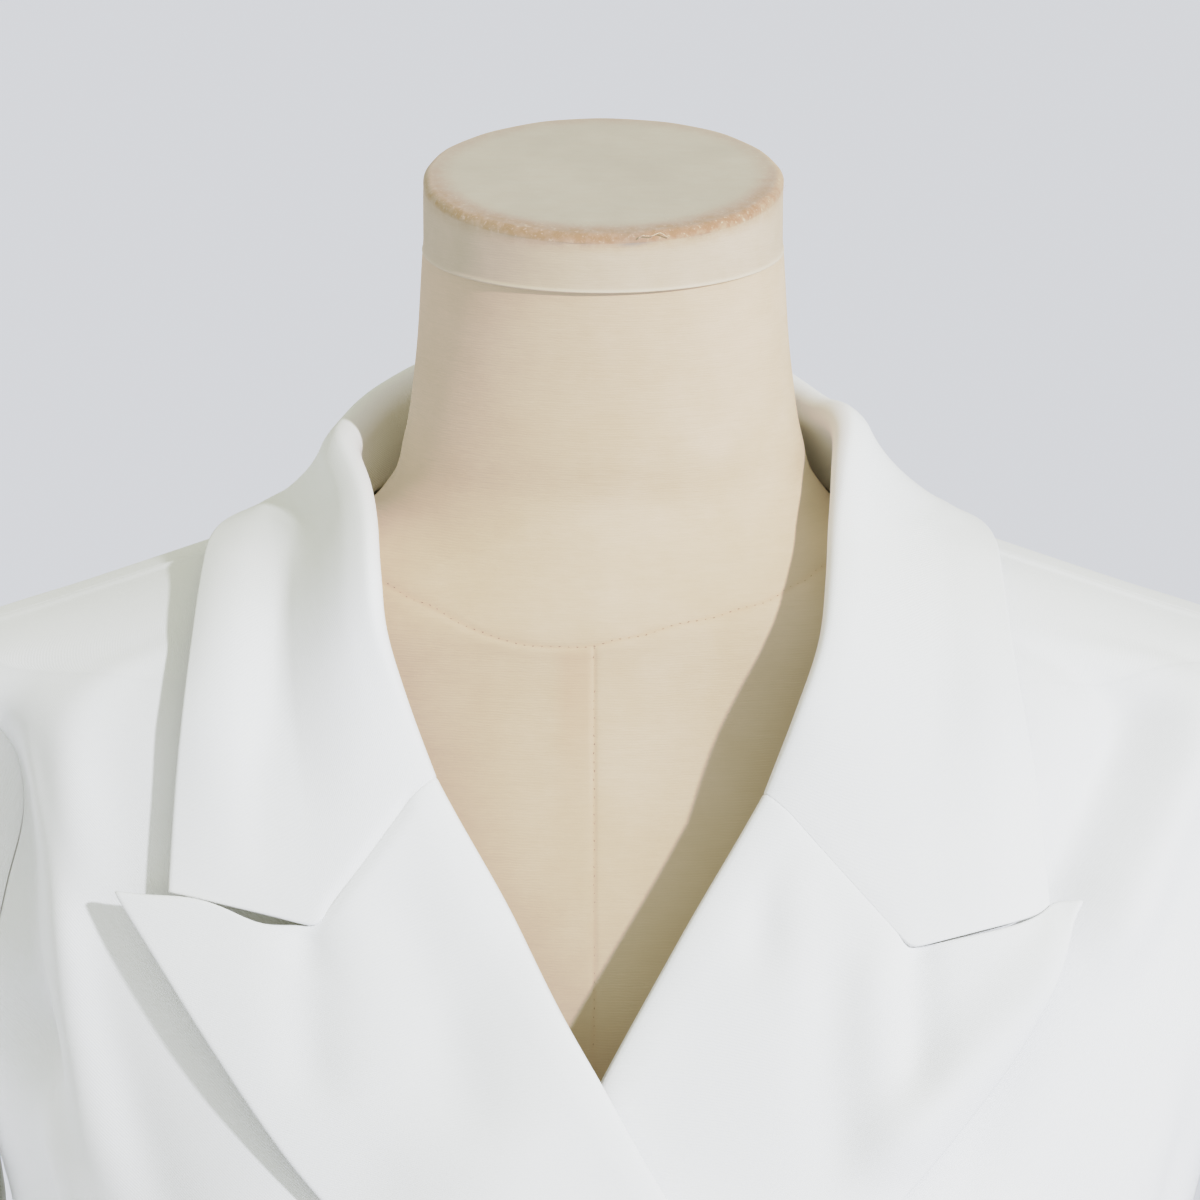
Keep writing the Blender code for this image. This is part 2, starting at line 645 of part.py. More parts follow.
def sleeve_grid(side):
    """Rings of the sleeve from the armhole to the cuff. Angle 0 faces out, 90 to the front."""
    turn = np.radians(span(-180, 180, SLEEVE_AROUND + 1))
    high = (1 + np.cos(turn)) / 2
    z = ARMPIT_Z + (TIP_Z - ARMPIT_Z) * high
    ahead = turn >= 0
    angle = np.where(ahead, armhole_angle(z, "front"), armhole_angle(z, "back"))
    hole, _ = cloth_point(side, angle, z)
    forward = np.sin(turn)
    leave = unit(np.stack([0.75 + 0.25 * high, -0.42 * forward, -0.50 + 0.60 * high], -1))
    hole = hole + leave * (0.0026 - 0.0012 * high)[:, None]
    upper_z = SLEEVE["z"][-1]

    def tube(z):
        size = {name: smooth(SLEEVE, name, z) for name in SLEEVE}
        x = size["x"] + size["half_x"] * np.sign(np.cos(turn)) * np.abs(np.cos(turn)) ** 0.9
        y = size["y"] - size["half_y"] * forward
        return np.stack(np.broadcast_arrays(x, y, z), -1)

    start_pull = (0.030 + 0.080 * high)[:, None] * leave
    end_pull = (0.020 + 0.150 * high)[:, None] * np.array([0, 0, -1.0])
    below = tube(upper_z)
    rings = []
    for t in CAP_SHARES:
        cubic = (2 * t**3 - 3 * t**2 + 1, t**3 - 2 * t**2 + t, 3 * t**2 - 2 * t**3, t**3 - t**2)
        rings.append(cubic[0] * hole + cubic[1] * start_pull + cubic[2] * below + cubic[3] * end_pull)
    rings += [tube(z) for z in SLEEVE_ROWS]
    points = np.array(rings)
    around = np.roll(points[:, :-1], -1, axis=1) - np.roll(points[:, :-1], 1, axis=1)
    around = np.concatenate([around, around[:, :1]], axis=1)
    outward = unit(np.cross(np.gradient(points, axis=0), around))
    depth = np.zeros(points.shape[:2])
    for z, middle, rise, deep, high in SLEEVE_FOLDS:
        across = np.degrees(turn) * 1.0
        aside = across - (middle if side > 0 else middle * 0.8 - 8)
        lift = points[..., 2] - z - (0.012 if side < 0 else 0) - rise * aside / 60
        depth += deep * np.exp(-((lift / high) ** 2)) * np.exp(-((aside / 55) ** 2))
    return points - outward * depth[..., None], outward


def sleeve(side, word, material):
    points, outward = sleeve_grid(side)
    middle = SLEEVE_AROUND // 2
    first, last = (middle + k for k in TOP_SLEEVE)
    top = slice(first, last + 1)
    under_order = list(range(last, SLEEVE_AROUND)) + list(range(0, first + 1))
    for name, order in (("sleeve_top_", range(first, last + 1)), ("sleeve_under_", under_order)):
        order = list(order)
        piece = pulled_in(points[::-1, order[::-1]], ("left", "right"), 0.8 * SEAM_GAP)
        wall(name + word, side, piece, outward[::-1, order[::-1]], material)


# ---------------------------------------------------------------- buttons


def turned_mesh(name, profile, around):
    """A closed round solid from a profile of (radius, height), from its foot up."""
    points = [(0, 0, profile[0][1])]
    for radius, height in profile:
        for k in range(around):
            turn = 2 * math.pi * k / around
            points.append((radius * math.cos(turn), radius * math.sin(turn), height))
    points.append((0, 0, profile[-1][1]))
    faces = []
    last = len(points) - 1
    for k in range(around):
        after = (k + 1) % around
        faces.append((0, 1 + after, 1 + k))
        for i in range(len(profile) - 1):
            low = 1 + i * around
            faces.append((low + k, low + after, low + around + after, low + around + k))
        faces.append((last, last - around + k, last - around + after))
    mesh = bpy.data.meshes.new(name)
    mesh.from_pydata(points, [], faces)
    mesh.shade_smooth()
    mesh.set_sharp_from_angle(angle=math.radians(40))
    return mesh


def seat_of(x, height):
    """Where a button lies flat on the highest cloth under it, and which way it faces."""
    turn = np.radians(np.arange(0, 360, 45))
    reach = BUTTON_RADIUS * np.array([0, *np.ones(8)])
    xs = x + reach * np.array([0, *np.cos(turn)])
    zs = height + reach * np.array([0, *np.sin(turn)])
    points, outward = cloth_point(-1, angle_at(xs, zs), zs)
    facing = outward[0]
    rise = np.max((points - points[0]) @ facing)
    return points[0] + facing * (rise + WALL / 2 + BUTTON_GAP), facing


def buttons(material):
    thick = BUTTON_THICKNESS
    profile = (
        (BUTTON_RADIUS * 0.86, 0),
        (BUTTON_RADIUS, thick * 0.45),
        (BUTTON_RADIUS * 0.96, thick * 0.9),
        (BUTTON_RADIUS * 0.88, thick),
        (BUTTON_RADIUS * 0.72, thick * 0.75),
    )
    mesh = turned_mesh("button", profile, 14)
    mesh.materials.append(material)
    number = 0
    for height in BUTTON_ROWS:
        for x in (-BUTTON_X, BUTTON_X):
            number += 1
            seat, facing = (Vector(v * (-1, 1, 1)) for v in seat_of(x, height))
            button = bpy.data.objects.new(f"button_{number}", mesh)
            bpy.context.scene.collection.objects.link(button)
            button.location = seat
            button.rotation_euler = facing.to_track_quat("Z", "Y").to_euler()


# ---------------------------------------------------------------- the dress form


def form_ring(z, around):
    turn = span(0, 2 * math.pi, around + 1)[:-1]
    return ring_point(FORM, turn, np.full(around, z))


def closed_stack(name, rings, material):
    """A solid from rings of points, from the lowest to the highest, with flat ends."""
    rings = np.array(rings)
    count, around = rings.shape[:2]
    faces = [tuple(range(around))[::-1]]
    for i in range(count - 1):
        for k in range(around):
            after = (k + 1) % around
            low = i * around
            faces.append((low + k, low + after, low + around + after, low + around + k))
    faces.append(tuple((count - 1) * around + k for k in range(around)))
    return mesh_object(name, rings, faces, material)


FORM_AROUND = 26
FORM_HEIGHTS = (
    BASE_THICKNESS + SEAM_GAP, 0.060, 0.100, 0.150, 0.200, 0.250, 0.300, 0.350, 0.395, 0.430,
    0.470, 0.510, 0.545, 0.575, 0.605, 0.635, 0.660, 0.682, 0.700, 0.712, 0.7205, 0.7265,
    0.7310, 0.7355, 0.7405, 0.7455, 0.7505, 0.7560, 0.7620, 0.7680, 0.7760, 0.7900, 0.8150,
)


def dress_form(linen, cap_linen, board):
    rings = [form_ring(z, FORM_AROUND) for z in FORM_HEIGHTS]
    top = form_ring(NECK_TOP_Z, FORM_AROUND)
    top[:, 2] += SEAM_SLANT * (top[:, 1] - CAP_CENTRE_Y)
    closed_stack("form_torso", [*rings, top], linen)

    turn = span(0, 2 * math.pi, 25)[:-1]
    outline = (
        (CAP_RADIUS - 0.0004, 0.0),
        (CAP_RADIUS, 0.1),
        (CAP_RADIUS, 0.84),
        (CAP_RADIUS - 0.0012, 0.96),
        (CAP_RADIUS - 0.0045, 1.0),
    )
    rings = []
    for radius, share in outline:
        x = radius * np.sin(turn)
        y = -radius * np.cos(turn)
        low = NECK_TOP_Z + CAP_GAP + SEAM_SLANT * y
        high = NECK_TOP_Z + CAP_HEIGHT + TOP_SLANT * y
        rings.append(np.stack([x, y + CAP_CENTRE_Y, low + (high - low) * share], -1))
    closed_stack("form_cap", rings, cap_linen)

    foot = form_ring(FORM_HEIGHTS[0], FORM_AROUND)
    rings = []
    for z, scale in ((0, 0.965), (0.003, 0.98), (BASE_THICKNESS - 0.002, 0.98), (BASE_THICKNESS, 0.97)):
        ring = foot * (scale, scale, 0)
        ring[:, 2] = z
        rings.append(ring)
    closed_stack("form_base", rings, board)


# ---------------------------------------------------------------- materials and assembly


def material(name, colour, roughness):
    made = bpy.data.materials.new(name)
    made.use_nodes = True
    shader = made.node_tree.nodes["Principled BSDF"]
    shader.inputs["Base Color"].default_value = (*colour, 1)
    shader.inputs["Roughness"].default_value = roughness
    shader.inputs["Metallic"].default_value = 0
    return made


def main():
    for leftover in list(bpy.data.objects):
        bpy.data.objects.remove(leftover)
    cloth = material("white_suiting", WHITE_CLOTH, 0.85)
    for side, word in ((-1, "right"), (1, "left")):
        front_panel("front_" + word, side, cloth)
        back_panel("back_" + word, side, cloth)
        lapel("lapel_" + word, side, cloth)
        sleeve(side, word, cloth)
    collar("collar", cloth)
    buttons(material("white_button", BUTTON_WHITE, 0.35))
    dress_form(
        material("linen", LINEN, 0.9),
        material("cap_linen", CAP_LINEN, 0.9),
        material("board", BOARD, 0.6),
    )


if __name__ == "__main__":
    main()
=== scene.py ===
import math

import bpy
import bmesh
import numpy as np
from mathutils import Matrix, Vector


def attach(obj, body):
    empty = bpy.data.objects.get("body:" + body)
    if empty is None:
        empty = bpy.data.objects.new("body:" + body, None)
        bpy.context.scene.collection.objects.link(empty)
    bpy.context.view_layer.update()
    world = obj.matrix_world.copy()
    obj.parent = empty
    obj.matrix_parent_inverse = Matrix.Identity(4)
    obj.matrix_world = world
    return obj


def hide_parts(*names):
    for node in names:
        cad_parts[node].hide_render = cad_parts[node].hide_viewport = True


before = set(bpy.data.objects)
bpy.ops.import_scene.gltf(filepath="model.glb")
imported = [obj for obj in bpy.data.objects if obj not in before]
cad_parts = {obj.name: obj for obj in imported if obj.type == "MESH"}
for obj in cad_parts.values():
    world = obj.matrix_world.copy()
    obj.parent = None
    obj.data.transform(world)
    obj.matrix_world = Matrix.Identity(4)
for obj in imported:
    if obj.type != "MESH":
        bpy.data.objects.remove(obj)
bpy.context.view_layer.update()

print("frame loaded")

# Everything is in metres. The front faces -Y, and the wearer's left is +X.
# side is 1 for the wearer's left half and -1 for the right half, whose front lies on top.
# Each half is shaped on the +X side, and the right one is mirrored when its mesh is made.


def table(names, *rows):
    return dict(zip(names.split(), np.array(rows, float).T))


def smooth(columns, name, at):
    # a column of a table, read on a smooth curve along the table's first column
    steps = next(iter(columns.values()))
    values = columns[name]
    slopes = np.gradient(values, steps)
    at = np.clip(at, steps[0], steps[-1])
    low = np.clip(np.searchsorted(steps, at, side="right") - 1, 0, len(steps) - 2)
    width = steps[low + 1] - steps[low]
    t = (at - steps[low]) / width
    rise = values[low + 1] - values[low]
    bendLow = slopes[low] * width - rise
    bendHigh = slopes[low + 1] * width - rise
    return values[low] + rise * t + t * (1 - t) * (bendLow * (1 - t) - bendHigh * t)


def ease(t):
    t = np.clip(t, 0.0, 1.0)
    return t * t * (3 - 2 * t)


def unit(vectors):
    return vectors / np.linalg.norm(vectors, axis=-1, keepdims=True)


def bell(distance, width):
    return np.exp(-((distance / width) ** 2))


def spread(count, margins=(0.006, 0.018)):
    # shares from 0 to 1, closer together at both ends so that the rim stays crisp
    inner = np.linspace(0, 1, count + 1)
    inner = inner[(inner > 2.2 * margins[-1]) & (inner < 1 - 2.2 * margins[-1])]
    low = np.array([0, *margins])
    return np.concatenate([low, inner, 1 - low[::-1]])


# ---- the cloth's shape on the form

bodySizes = {
    "hemZ": 0.100,
    "armpitZ": 0.572,
    "shoulderTipZ": 0.7247,
    "neckPointZ": 0.7625,
    "breakZ": 0.485,  # foot of the roll line
    "gorgeZ": 0.7005,  # top of the roll line
    "overlap": 0.080,
    "stack": 0.0034,  # one layer lying on another
    "sideY": 0.005,
    "shoulderRidge": 0.0009,
    "wall": 0.0021,
    "seamGap": 0.00001,
    "seamMeet": -0.00035,  # how far the gorge's edges run under each other
    "rowStep": 0.0062,
    "frontColumns": 44,
    "backColumns": 30,
}

# rings of the cloth: half width, depth before and behind the side seams, squareness
bodyRings = table(
    "z width front back square",
    (0.100, 0.189, 0.132, 0.130, 2.3),
    (0.200, 0.184, 0.133, 0.130, 2.3),
    (0.300, 0.165, 0.125, 0.108, 2.3),
    (0.400, 0.150, 0.115, 0.082, 2.3),
    (0.470, 0.157, 0.123, 0.091, 2.3),
    (0.545, 0.172, 0.136, 0.105, 2.3),
    (0.572, 0.178, 0.131, 0.109, 2.3),
    (0.600, 0.188, 0.1215, 0.112, 2.3),
    (0.650, 0.200, 0.1045, 0.110, 2.3),
    (0.675, 0.2010, 0.0947, 0.107, 2.28),
    (0.690, 0.2030, 0.0890, 0.105, 2.26),
    (0.700, 0.2048, 0.0853, 0.1025, 2.22),
    (0.710, 0.2055, 0.0817, 0.100, 2.18),
    (0.718, 0.2025, 0.0785, 0.0978, 2.13),
    (0.7247, 0.1926, 0.0755, 0.0955, 2.08),
    (0.735, 0.1614, 0.0705, 0.0910, 2.06),
    (0.743, 0.1371, 0.0640, 0.0865, 2.08),
    (0.7525, 0.1084, 0.0548, 0.0805, 2.10),
    (0.7605, 0.0841, 0.0430, 0.0750, 2.1),
    (0.7645, 0.0720, 0.0370, 0.0720, 2.1),
    (0.772, 0.0715, 0.0340, 0.0665, 2.1),
    (0.782, 0.0700, 0.0320, 0.0640, 2.1),
)

armhole = table(
    "z frontX backX",
    (0.572, 0.1780, 0.1780),
    (0.578, 0.1788, 0.1788),
    (0.588, 0.1797, 0.1797),
    (0.605, 0.1818, 0.1800),
    (0.635, 0.1822, 0.1787),
    (0.662, 0.1803, 0.1772),
    (0.690, 0.1766, 0.1757),
    (0.706, 0.1780, 0.1775),
    (0.718, 0.1845, 0.1840),
    (0.7247, 0.1926, 0.1926),
)

# how much further open the upper front's roll line lies
rollShift = table(
    "z x",
    (0.485, 0.0000),
    (0.560, 0.0020),
    (0.590, 0.0032),
    (0.620, 0.0042),
    (0.635, 0.0044),
    (0.665, 0.0028),
    (0.7015, 0.0018),
    (0.730, 0.0000),
)

# the angle that a panel's columns lean to, level with the armhole and over the shoulder
columnGuide = table(
    "z angle",
    (0.540, 90), (0.560, 85), (0.580, 77.5), (0.600, 71.5), (0.635, 63.6), (0.662, 59.5), (0.690, 57.5),
    (0.706, 60), (0.718, 65.5), (0.7247, 70), (0.735, 77), (0.745, 84), (0.760, 90),
)

rollLine = table(
    "z x",
    (0.485, -0.0800),
    (0.540, -0.0490),
    (0.5965, -0.0165),
    (0.6268, 0.0003),
    (0.6655, 0.0232),
    (0.7015, 0.0456),
    (0.730, 0.0610),
)

frontNeck = table(
    "z x",
    (0.6960, 0.0455),
    (0.7005, 0.0485),
    (0.720, 0.0605),
    (0.735, 0.0680),
    (0.743, 0.0710),
    (0.7525, 0.0735),
    (0.7595, 0.0755),
    (0.7625, 0.0780),
)

backNeck = table(
    "angle z",
    (90, 0.7625),
    (110, 0.7665),
    (135, 0.7735),
    (160, 0.7787),
    (180, 0.7800),
)

lapelEdge = table(
    "up x z",
    (0.00, -0.0620, 0.4985),
    (0.18, -0.0290, 0.5130),
    (0.38, 0.0210, 0.5440),
    (0.62, 0.0780, 0.5924),
    (0.80, 0.1075, 0.6300),
    (1.00, 0.1368, 0.6696),
)

# where the two halves differ: how far each hangs and spreads, and its notch in (x, z)
halves = {
    -1: {"drop": 0.0, "spread": 0.0, "notch": (0.0788, 0.6621), "peak": (0.1342, 0.6682),
         "collarCorner": (0.1195, 0.6692), "tuck": 0.0, "ridge": 0.0, "waviness": 1.35, "open": 1.0, "rollOut": 0.0180, "rollAt": 3.0, "bow": 0.0003,
         "topWave": ((0.26, 0.14, -0.0020), (0.60, 0.20, 0.0019)),
         "gorgeDip": 0.0012, "peakLift": 0.0066},
    1: {"drop": 0.0045, "spread": 0.0010, "notch": (0.0841, 0.6564), "peak": (0.1370, 0.6631),
        "collarCorner": (0.1239, 0.6632), "tuck": 0.0100, "ridge": 0.0070, "waviness": 0.15, "open": 0.0, "rollOut": 0.0050, "rollAt": 1.6, "bow": 0.0003,
        "topWave": ((0.12, 0.10, -0.0003), (0.78, 0.22, 0.0005)),
        "gorgeDip": 0.0004, "peakLift": 0.0044},
}

# soft folds: angle from the centre front in degrees and z at both ends, depth, half width
bodyFolds = {
    -1: (
        (58.5, 0.708, 58, 0.610, 0.0165, 0.0172),
        (62, 0.625, 69, 0.560, 0.0090, 0.0170),
        (46, 0.700, 46, 0.590, -0.0026, 0.0085),
        (52, 0.702, 47, 0.655, -0.0022, 0.0042),
        (46.5, 0.655, 49, 0.600, -0.0014, 0.0055),
        (46, 0.728, 42, 0.670, -0.0014, 0.008),
        (43, 0.640, 36, 0.540, 0.0014, 0.010),
        (64, 0.560, 74, 0.470, 0.0030, 0.010),
        (85, 0.460, 50, 0.415, 0.0030, 0.012),
        (80, 0.420, 54, 0.370, -0.0020, 0.010),
        (128, 0.650, 150, 0.520, 0.0058, 0.012),
        (120, 0.455, 165, 0.405, 0.0052, 0.011),
        (112, 0.400, 150, 0.375, -0.0034, 0.009),
    ),
    1: (
        (46.5, 0.722, 35, 0.664, 0.0080, 0.0105),
        (56, 0.716, 43.5, 0.652, -0.0068, 0.0105),
        (50, 0.655, 42, 0.570, 0.0022, 0.012),
        (34, 0.650, 28, 0.560, 0.0014, 0.009),
        (62, 0.600, 76, 0.470, 0.0028, 0.010),
        (88, 0.450, 50, 0.420, 0.0026, 0.012),
        (80, 0.410, 54, 0.360, -0.0022, 0.011),
        (125, 0.655, 143, 0.530, 0.0052, 0.012),
        (116, 0.465, 160, 0.400, 0.0056, 0.011),
        (110, 0.392, 155, 0.382, -0.0030, 0.009),
    ),
}


def ringPoint(rings, angle, z):
    power = 2 / smooth(rings, "square", z)
    aside = np.sin(angle)
    ahead = np.cos(angle)
    depth = np.where(ahead > 0, smooth(rings, "front", z), smooth(rings, "back", z))
    x = smooth(rings, "width", z) * np.sign(aside) * np.abs(aside) ** power
    y = bodySizes["sideY"] - depth * np.sign(ahead) * np.abs(ahead) ** power
    return np.stack(np.broadcast_arrays(x, y, z), axis=-1)


def angleAt(x, z, rings=bodyRings):
    share = np.clip(np.abs(x) / smooth(rings, "width", z), 0, 1)
    return np.sign(x) * np.arcsin(share ** (smooth(rings, "square", z) / 2))


# creases pressed into each lapel, in metres: x and z at both ends, depth, half width
lapelCreases = {
    -1: (
        (0.0815, 0.662, 0.0790, 0.622, 0.0026, 0.0080),
        (0.0800, 0.664, 0.0822, 0.652, 0.0014, 0.0026),
        (0.0560, 0.672, 0.0330, 0.612, 0.0018, 0.0110),
    ),
    1: (
        (0.1240, 0.650, 0.0760, 0.602, -0.0068, 0.0090),
        (0.0862, 0.660, 0.0860, 0.622, 0.0036, 0.0040),
        (0.0750, 0.655, 0.0736, 0.612, -0.0018, 0.0055),
        (0.0600, 0.650, 0.0655, 0.600, 0.0020, 0.0090),
        (0.0400, 0.686, 0.0440, 0.655, 0.0020, 0.0065),
        (0.0530, 0.676, 0.0540, 0.640, -0.0012, 0.0070),
    ),
}


def creaseDepth(creases, u, v):
    total = np.zeros(np.broadcast(u, v).shape)
    for startU, startV, endU, endV, depth, width in creases:
        alongU, alongV = endU - startU, endV - startV
        length = math.hypot(alongU, alongV)
        t = ((u - startU) * alongU + (v - startV) * alongV) / length**2
        aside = ((u - startU) * alongV - (v - startV) * alongU) / length
        total = total + depth * bell(aside, width) * ease((t + 0.25) / 0.4) * ease((1.25 - t) / 0.4)
    return total


def foldDepth(folds, angle, z):
    girth = 0.15 * math.radians(1)
    flat = [(girth * a, za, girth * b, zb, depth, width) for a, za, b, zb, depth, width in folds]
    return creaseDepth(flat, 0.15 * angle, z)


def overLift(x, z):
    # how far the upper front stands off, over the other front and its lapel
    drop = halves[1]["drop"]
    otherRoll = -smooth(rollLine, "x", z + drop)
    edgeZ = np.interp(-x, lapelEdge["x"], lapelEdge["z"]) - drop
    onFront = bodySizes["stack"] * ease((0.135 - x) / 0.045) * ease((0.66 - z) / 0.06)
    onLapel = ease((otherRoll + 0.055 - x) / 0.05) * ease((z - edgeZ + 0.030) / 0.022)
    lapelRoom = 0.0042 + 0.0020 * ease((z - 0.49) / 0.08)
    return onFront + lapelRoom * onLapel * ease((0.74 - z) / 0.06)


def bodyPoint(side, angle, z):
    point = ringPoint(bodyRings, angle, z)
    step = 1e-4
    around = ringPoint(bodyRings, angle + step, z) - ringPoint(bodyRings, angle - step, z)
    upward = ringPoint(bodyRings, angle, z + step) - ringPoint(bodyRings, angle, z - step)
    outward = unit(np.cross(around, upward))
    rise = -foldDepth(bodyFolds[side], angle, z)
    beforeSeam = bodySizes["sideY"] - point[..., 1] - 0.0045
    rise = rise + bodySizes["shoulderRidge"] * bell(beforeSeam, 0.0020) * ease((z - 0.7260) / 0.004)
    if side < 0:
        rise = rise + overLift(point[..., 0], z) * (np.cos(angle) > 0)
    return point + outward * rise[..., None]


def clothPoint(side, angle, z, off=0.0):
    # a point of the cloth moved out by off, and the direction that is outward there
    step = 2e-4
    around = bodyPoint(side, angle + step, z) - bodyPoint(side, angle - step, z)
    upward = bodyPoint(side, angle, z + step) - bodyPoint(side, angle, z - step)
    outward = unit(np.cross(around, upward))
    return bodyPoint(side, angle, z) + outward * np.asarray(off)[..., None], outward


def armholeAngle(z, where):
    x = smooth(armhole, where + "X", z)
    inside = (z > bodySizes["armpitZ"]) & (z < bodySizes["shoulderTipZ"])
    angle = np.where(inside, angleAt(x, z), math.pi / 2)
    return angle if where == "front" else math.pi - angle


def panelAngles(inner, outer, guide, share):
    # columns from a panel's middle to its armhole, where only the outer ones follow its corner
    return inner + (guide - inner) * share + (outer - guide) * ease((share - 0.45) / 0.55)


def rollRadius(z):
    s = lapelSizes
    return s["footRadius"] + (s["rollRadius"] - s["footRadius"]) * ease((z - bodySizes["breakZ"]) / 0.16)


def frontEdgeX(side, z):
    # the front's edge, then the seam under the lapel's roll, then the neckline
    drop = halves[side]["drop"]
    roll = smooth(rollLine, "x", z + drop) + halves[side]["open"] * smooth(rollShift, "x", z)
    roll = roll + rollRadius(z) / 0.86
    neck = smooth(frontNeck, "x", z + drop * ease((0.76 - z) / 0.05))
    above = np.where(z < bodySizes["gorgeZ"] - drop, roll, neck)
    return np.where(z <= bodySizes["breakZ"], -bodySizes["overlap"], above)


# ---- making meshes


def meshPiece(name, points, faces, material, uv=None, sharpAngle=None):
    mesh = bpy.data.meshes.new(name)
    mesh.from_pydata(np.asarray(points).reshape(-1, 3).tolist(), [], faces)
    mesh.materials.append(material)
    if uv is not None:
        layer = mesh.uv_layers.new(name="clothGrain")
        corners = np.empty(len(mesh.loops), np.int32)
        mesh.loops.foreach_get("vertex_index", corners)
        layer.data.foreach_set("uv", np.asarray(uv, float).reshape(-1, 2)[corners].ravel())
    mesh.shade_smooth()
    if sharpAngle:
        mesh.set_sharp_from_angle(angle=math.radians(sharpAngle))
    piece = bpy.data.objects.new(name, mesh)
    bpy.context.scene.collection.objects.link(piece)
    return piece


def softened(piece, levels=1):
    modifier = piece.modifiers.new("soft edges", "SUBSURF")
    modifier.levels = levels
    modifier.render_levels = levels
    graph = bpy.context.evaluated_depsgraph_get()
    rounded = bpy.data.meshes.new_from_object(piece.evaluated_get(graph))
    rounded.name = piece.name
    piece.modifiers.clear()
    old = piece.data
    piece.data = rounded
    bpy.data.meshes.remove(old)
    return piece


def wallFaces(rows, columns):
    inner = rows * columns
    faces = []
    for i in range(rows - 1):
        for j in range(columns - 1):
            a = i * columns + j
            quad = (a, a + 1, a + columns + 1, a + columns)
            faces.append(quad)
            faces.append(tuple(inner + k for k in reversed(quad)))
    rim = list(range(columns))
    rim += [i * columns + columns - 1 for i in range(1, rows)]
    rim += [(rows - 1) * columns + j for j in range(columns - 2, -1, -1)]
    rim += [i * columns for i in range(rows - 2, 0, -1)]
    for a, b in zip(rim, rim[1:] + rim[:1]):
        faces.append((b, a, inner + a, inner + b))
    return faces


def pulledIn(points, edges, gap):
    # the grid with its named edges drawn back, square to the seam there
    points = points.copy()
    ends = {"left": (1, 0, 1), "right": (1, -1, -2), "bottom": (0, 0, 1), "top": (0, -1, -2)}
    for name in edges:
        axis, edge, beside = ends[name]
        line = np.take(points, edge, axis)
        seam = unit(np.gradient(line, axis=0))
        back = np.take(points, beside, axis) - line
        back = unit(back - seam * np.sum(back * seam, -1, keepdims=True)) * gap
        if axis:
            points[:, edge] += back
        else:
            points[edge] += back
    return points


def gridNormals(points):
    along = np.gradient(points, axis=1)
    up = np.gradient(points, axis=0)
    return unit(np.cross(along, up))


def facingOut(points):
    # normals of a turned-over grid, which point away from its inner leg
    outward = gridNormals(points)
    seen = points[:, -1] - points[:, 0]
    return outward if np.sum(outward[:, -1] * seen) > 0 else -outward


def clothWall(name, side, points, outward, material, thickness=None):
    half = outward * (thickness or bodySizes["wall"]) / 2
    both = np.stack([points + half, points - half])
    runsBackwards = np.sum(gridNormals(points) * outward) < 0
    if side < 0:
        both = both * (-1, 1, 1)
    across = np.linalg.norm(np.diff(points, axis=1), axis=-1).mean(axis=0)
    upward = np.linalg.norm(np.diff(points, axis=0), axis=-1).mean(axis=1)
    u, v = np.meshgrid([0, *np.cumsum(across)], [0, *np.cumsum(upward)])
    uv = np.stack([np.stack([u, v], -1)] * 2)
    if runsBackwards == (side > 0):
        both = both[:, :, ::-1]
        uv = uv[:, :, ::-1]
    return softened(meshPiece(name, both, wallFaces(*points.shape[:2]), material, uv))


def finishPiece(piece, node):
    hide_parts(node)
    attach(piece, "root")


# ---- shader nodes


def addNode(tree, kind, inputs=None, **settings):
    node = tree.nodes.new(kind)
    for name, value in settings.items():
        setattr(node, name, value)
    for socket, value in (inputs or {}).items():
        if isinstance(value, bpy.types.NodeSocket):
            tree.links.new(value, node.inputs[socket])
        else:
            node.inputs[socket].default_value = value
    return node


def newMaterial(name, **fixed):
    material = bpy.data.materials.new(name)
    material.use_nodes = True
    tree = material.node_tree
    shader = tree.nodes["Principled BSDF"]
    for socket, value in fixed.items():
        shader.inputs[socket].default_value = value
    return material, tree, shader


def mixColours(tree, factor, first, second):
    mix = addNode(tree, "ShaderNodeMix", data_type="RGBA")
    for socket, value in ((0, factor), (6, first), (7, second)):
        if isinstance(value, bpy.types.NodeSocket):
            tree.links.new(value, mix.inputs[socket])
        else:
            mix.inputs[socket].default_value = value
    return mix.outputs[2]


def mapRange(tree, value, low, high, toLow, toHigh):
    node = addNode(tree, "ShaderNodeMapRange", {0: value, 1: low, 2: high, 3: toLow, 4: toHigh})
    return node.outputs[0]


def mathNode(tree, operation, first, second):
    return addNode(tree, "ShaderNodeMath", {0: first, 1: second}, operation=operation).outputs[0]


# ---- geometry nodes


def geometryTree(name, sockets):
    tree = bpy.data.node_groups.new(name, "GeometryNodeTree")
    for word, kind in [("Geometry", "Geometry"), *sockets.items(), ("Material", "Material")]:
        tree.interface.new_socket(word, in_out="INPUT", socket_type="NodeSocket" + kind)
    tree.interface.new_socket("Geometry", in_out="OUTPUT", socket_type="NodeSocketGeometry")
    return tree, tree.nodes.new("NodeGroupInput").outputs


def randomNode(tree, given, kind, low, high, number):
    settings = {"Min": low, "Max": high, "Seed": mathNode(tree, "ADD", given["Seed"], number)}
    node = tree.nodes.new("FunctionNodeRandomValue")
    node.data_type = kind
    sockets = {socket.name: socket for socket in node.inputs if socket.enabled}
    for word, value in settings.items():
        if isinstance(value, bpy.types.NodeSocket):
            tree.links.new(value, sockets[word])
        else:
            sockets[word].default_value = value
    return next(socket for socket in node.outputs if socket.enabled)


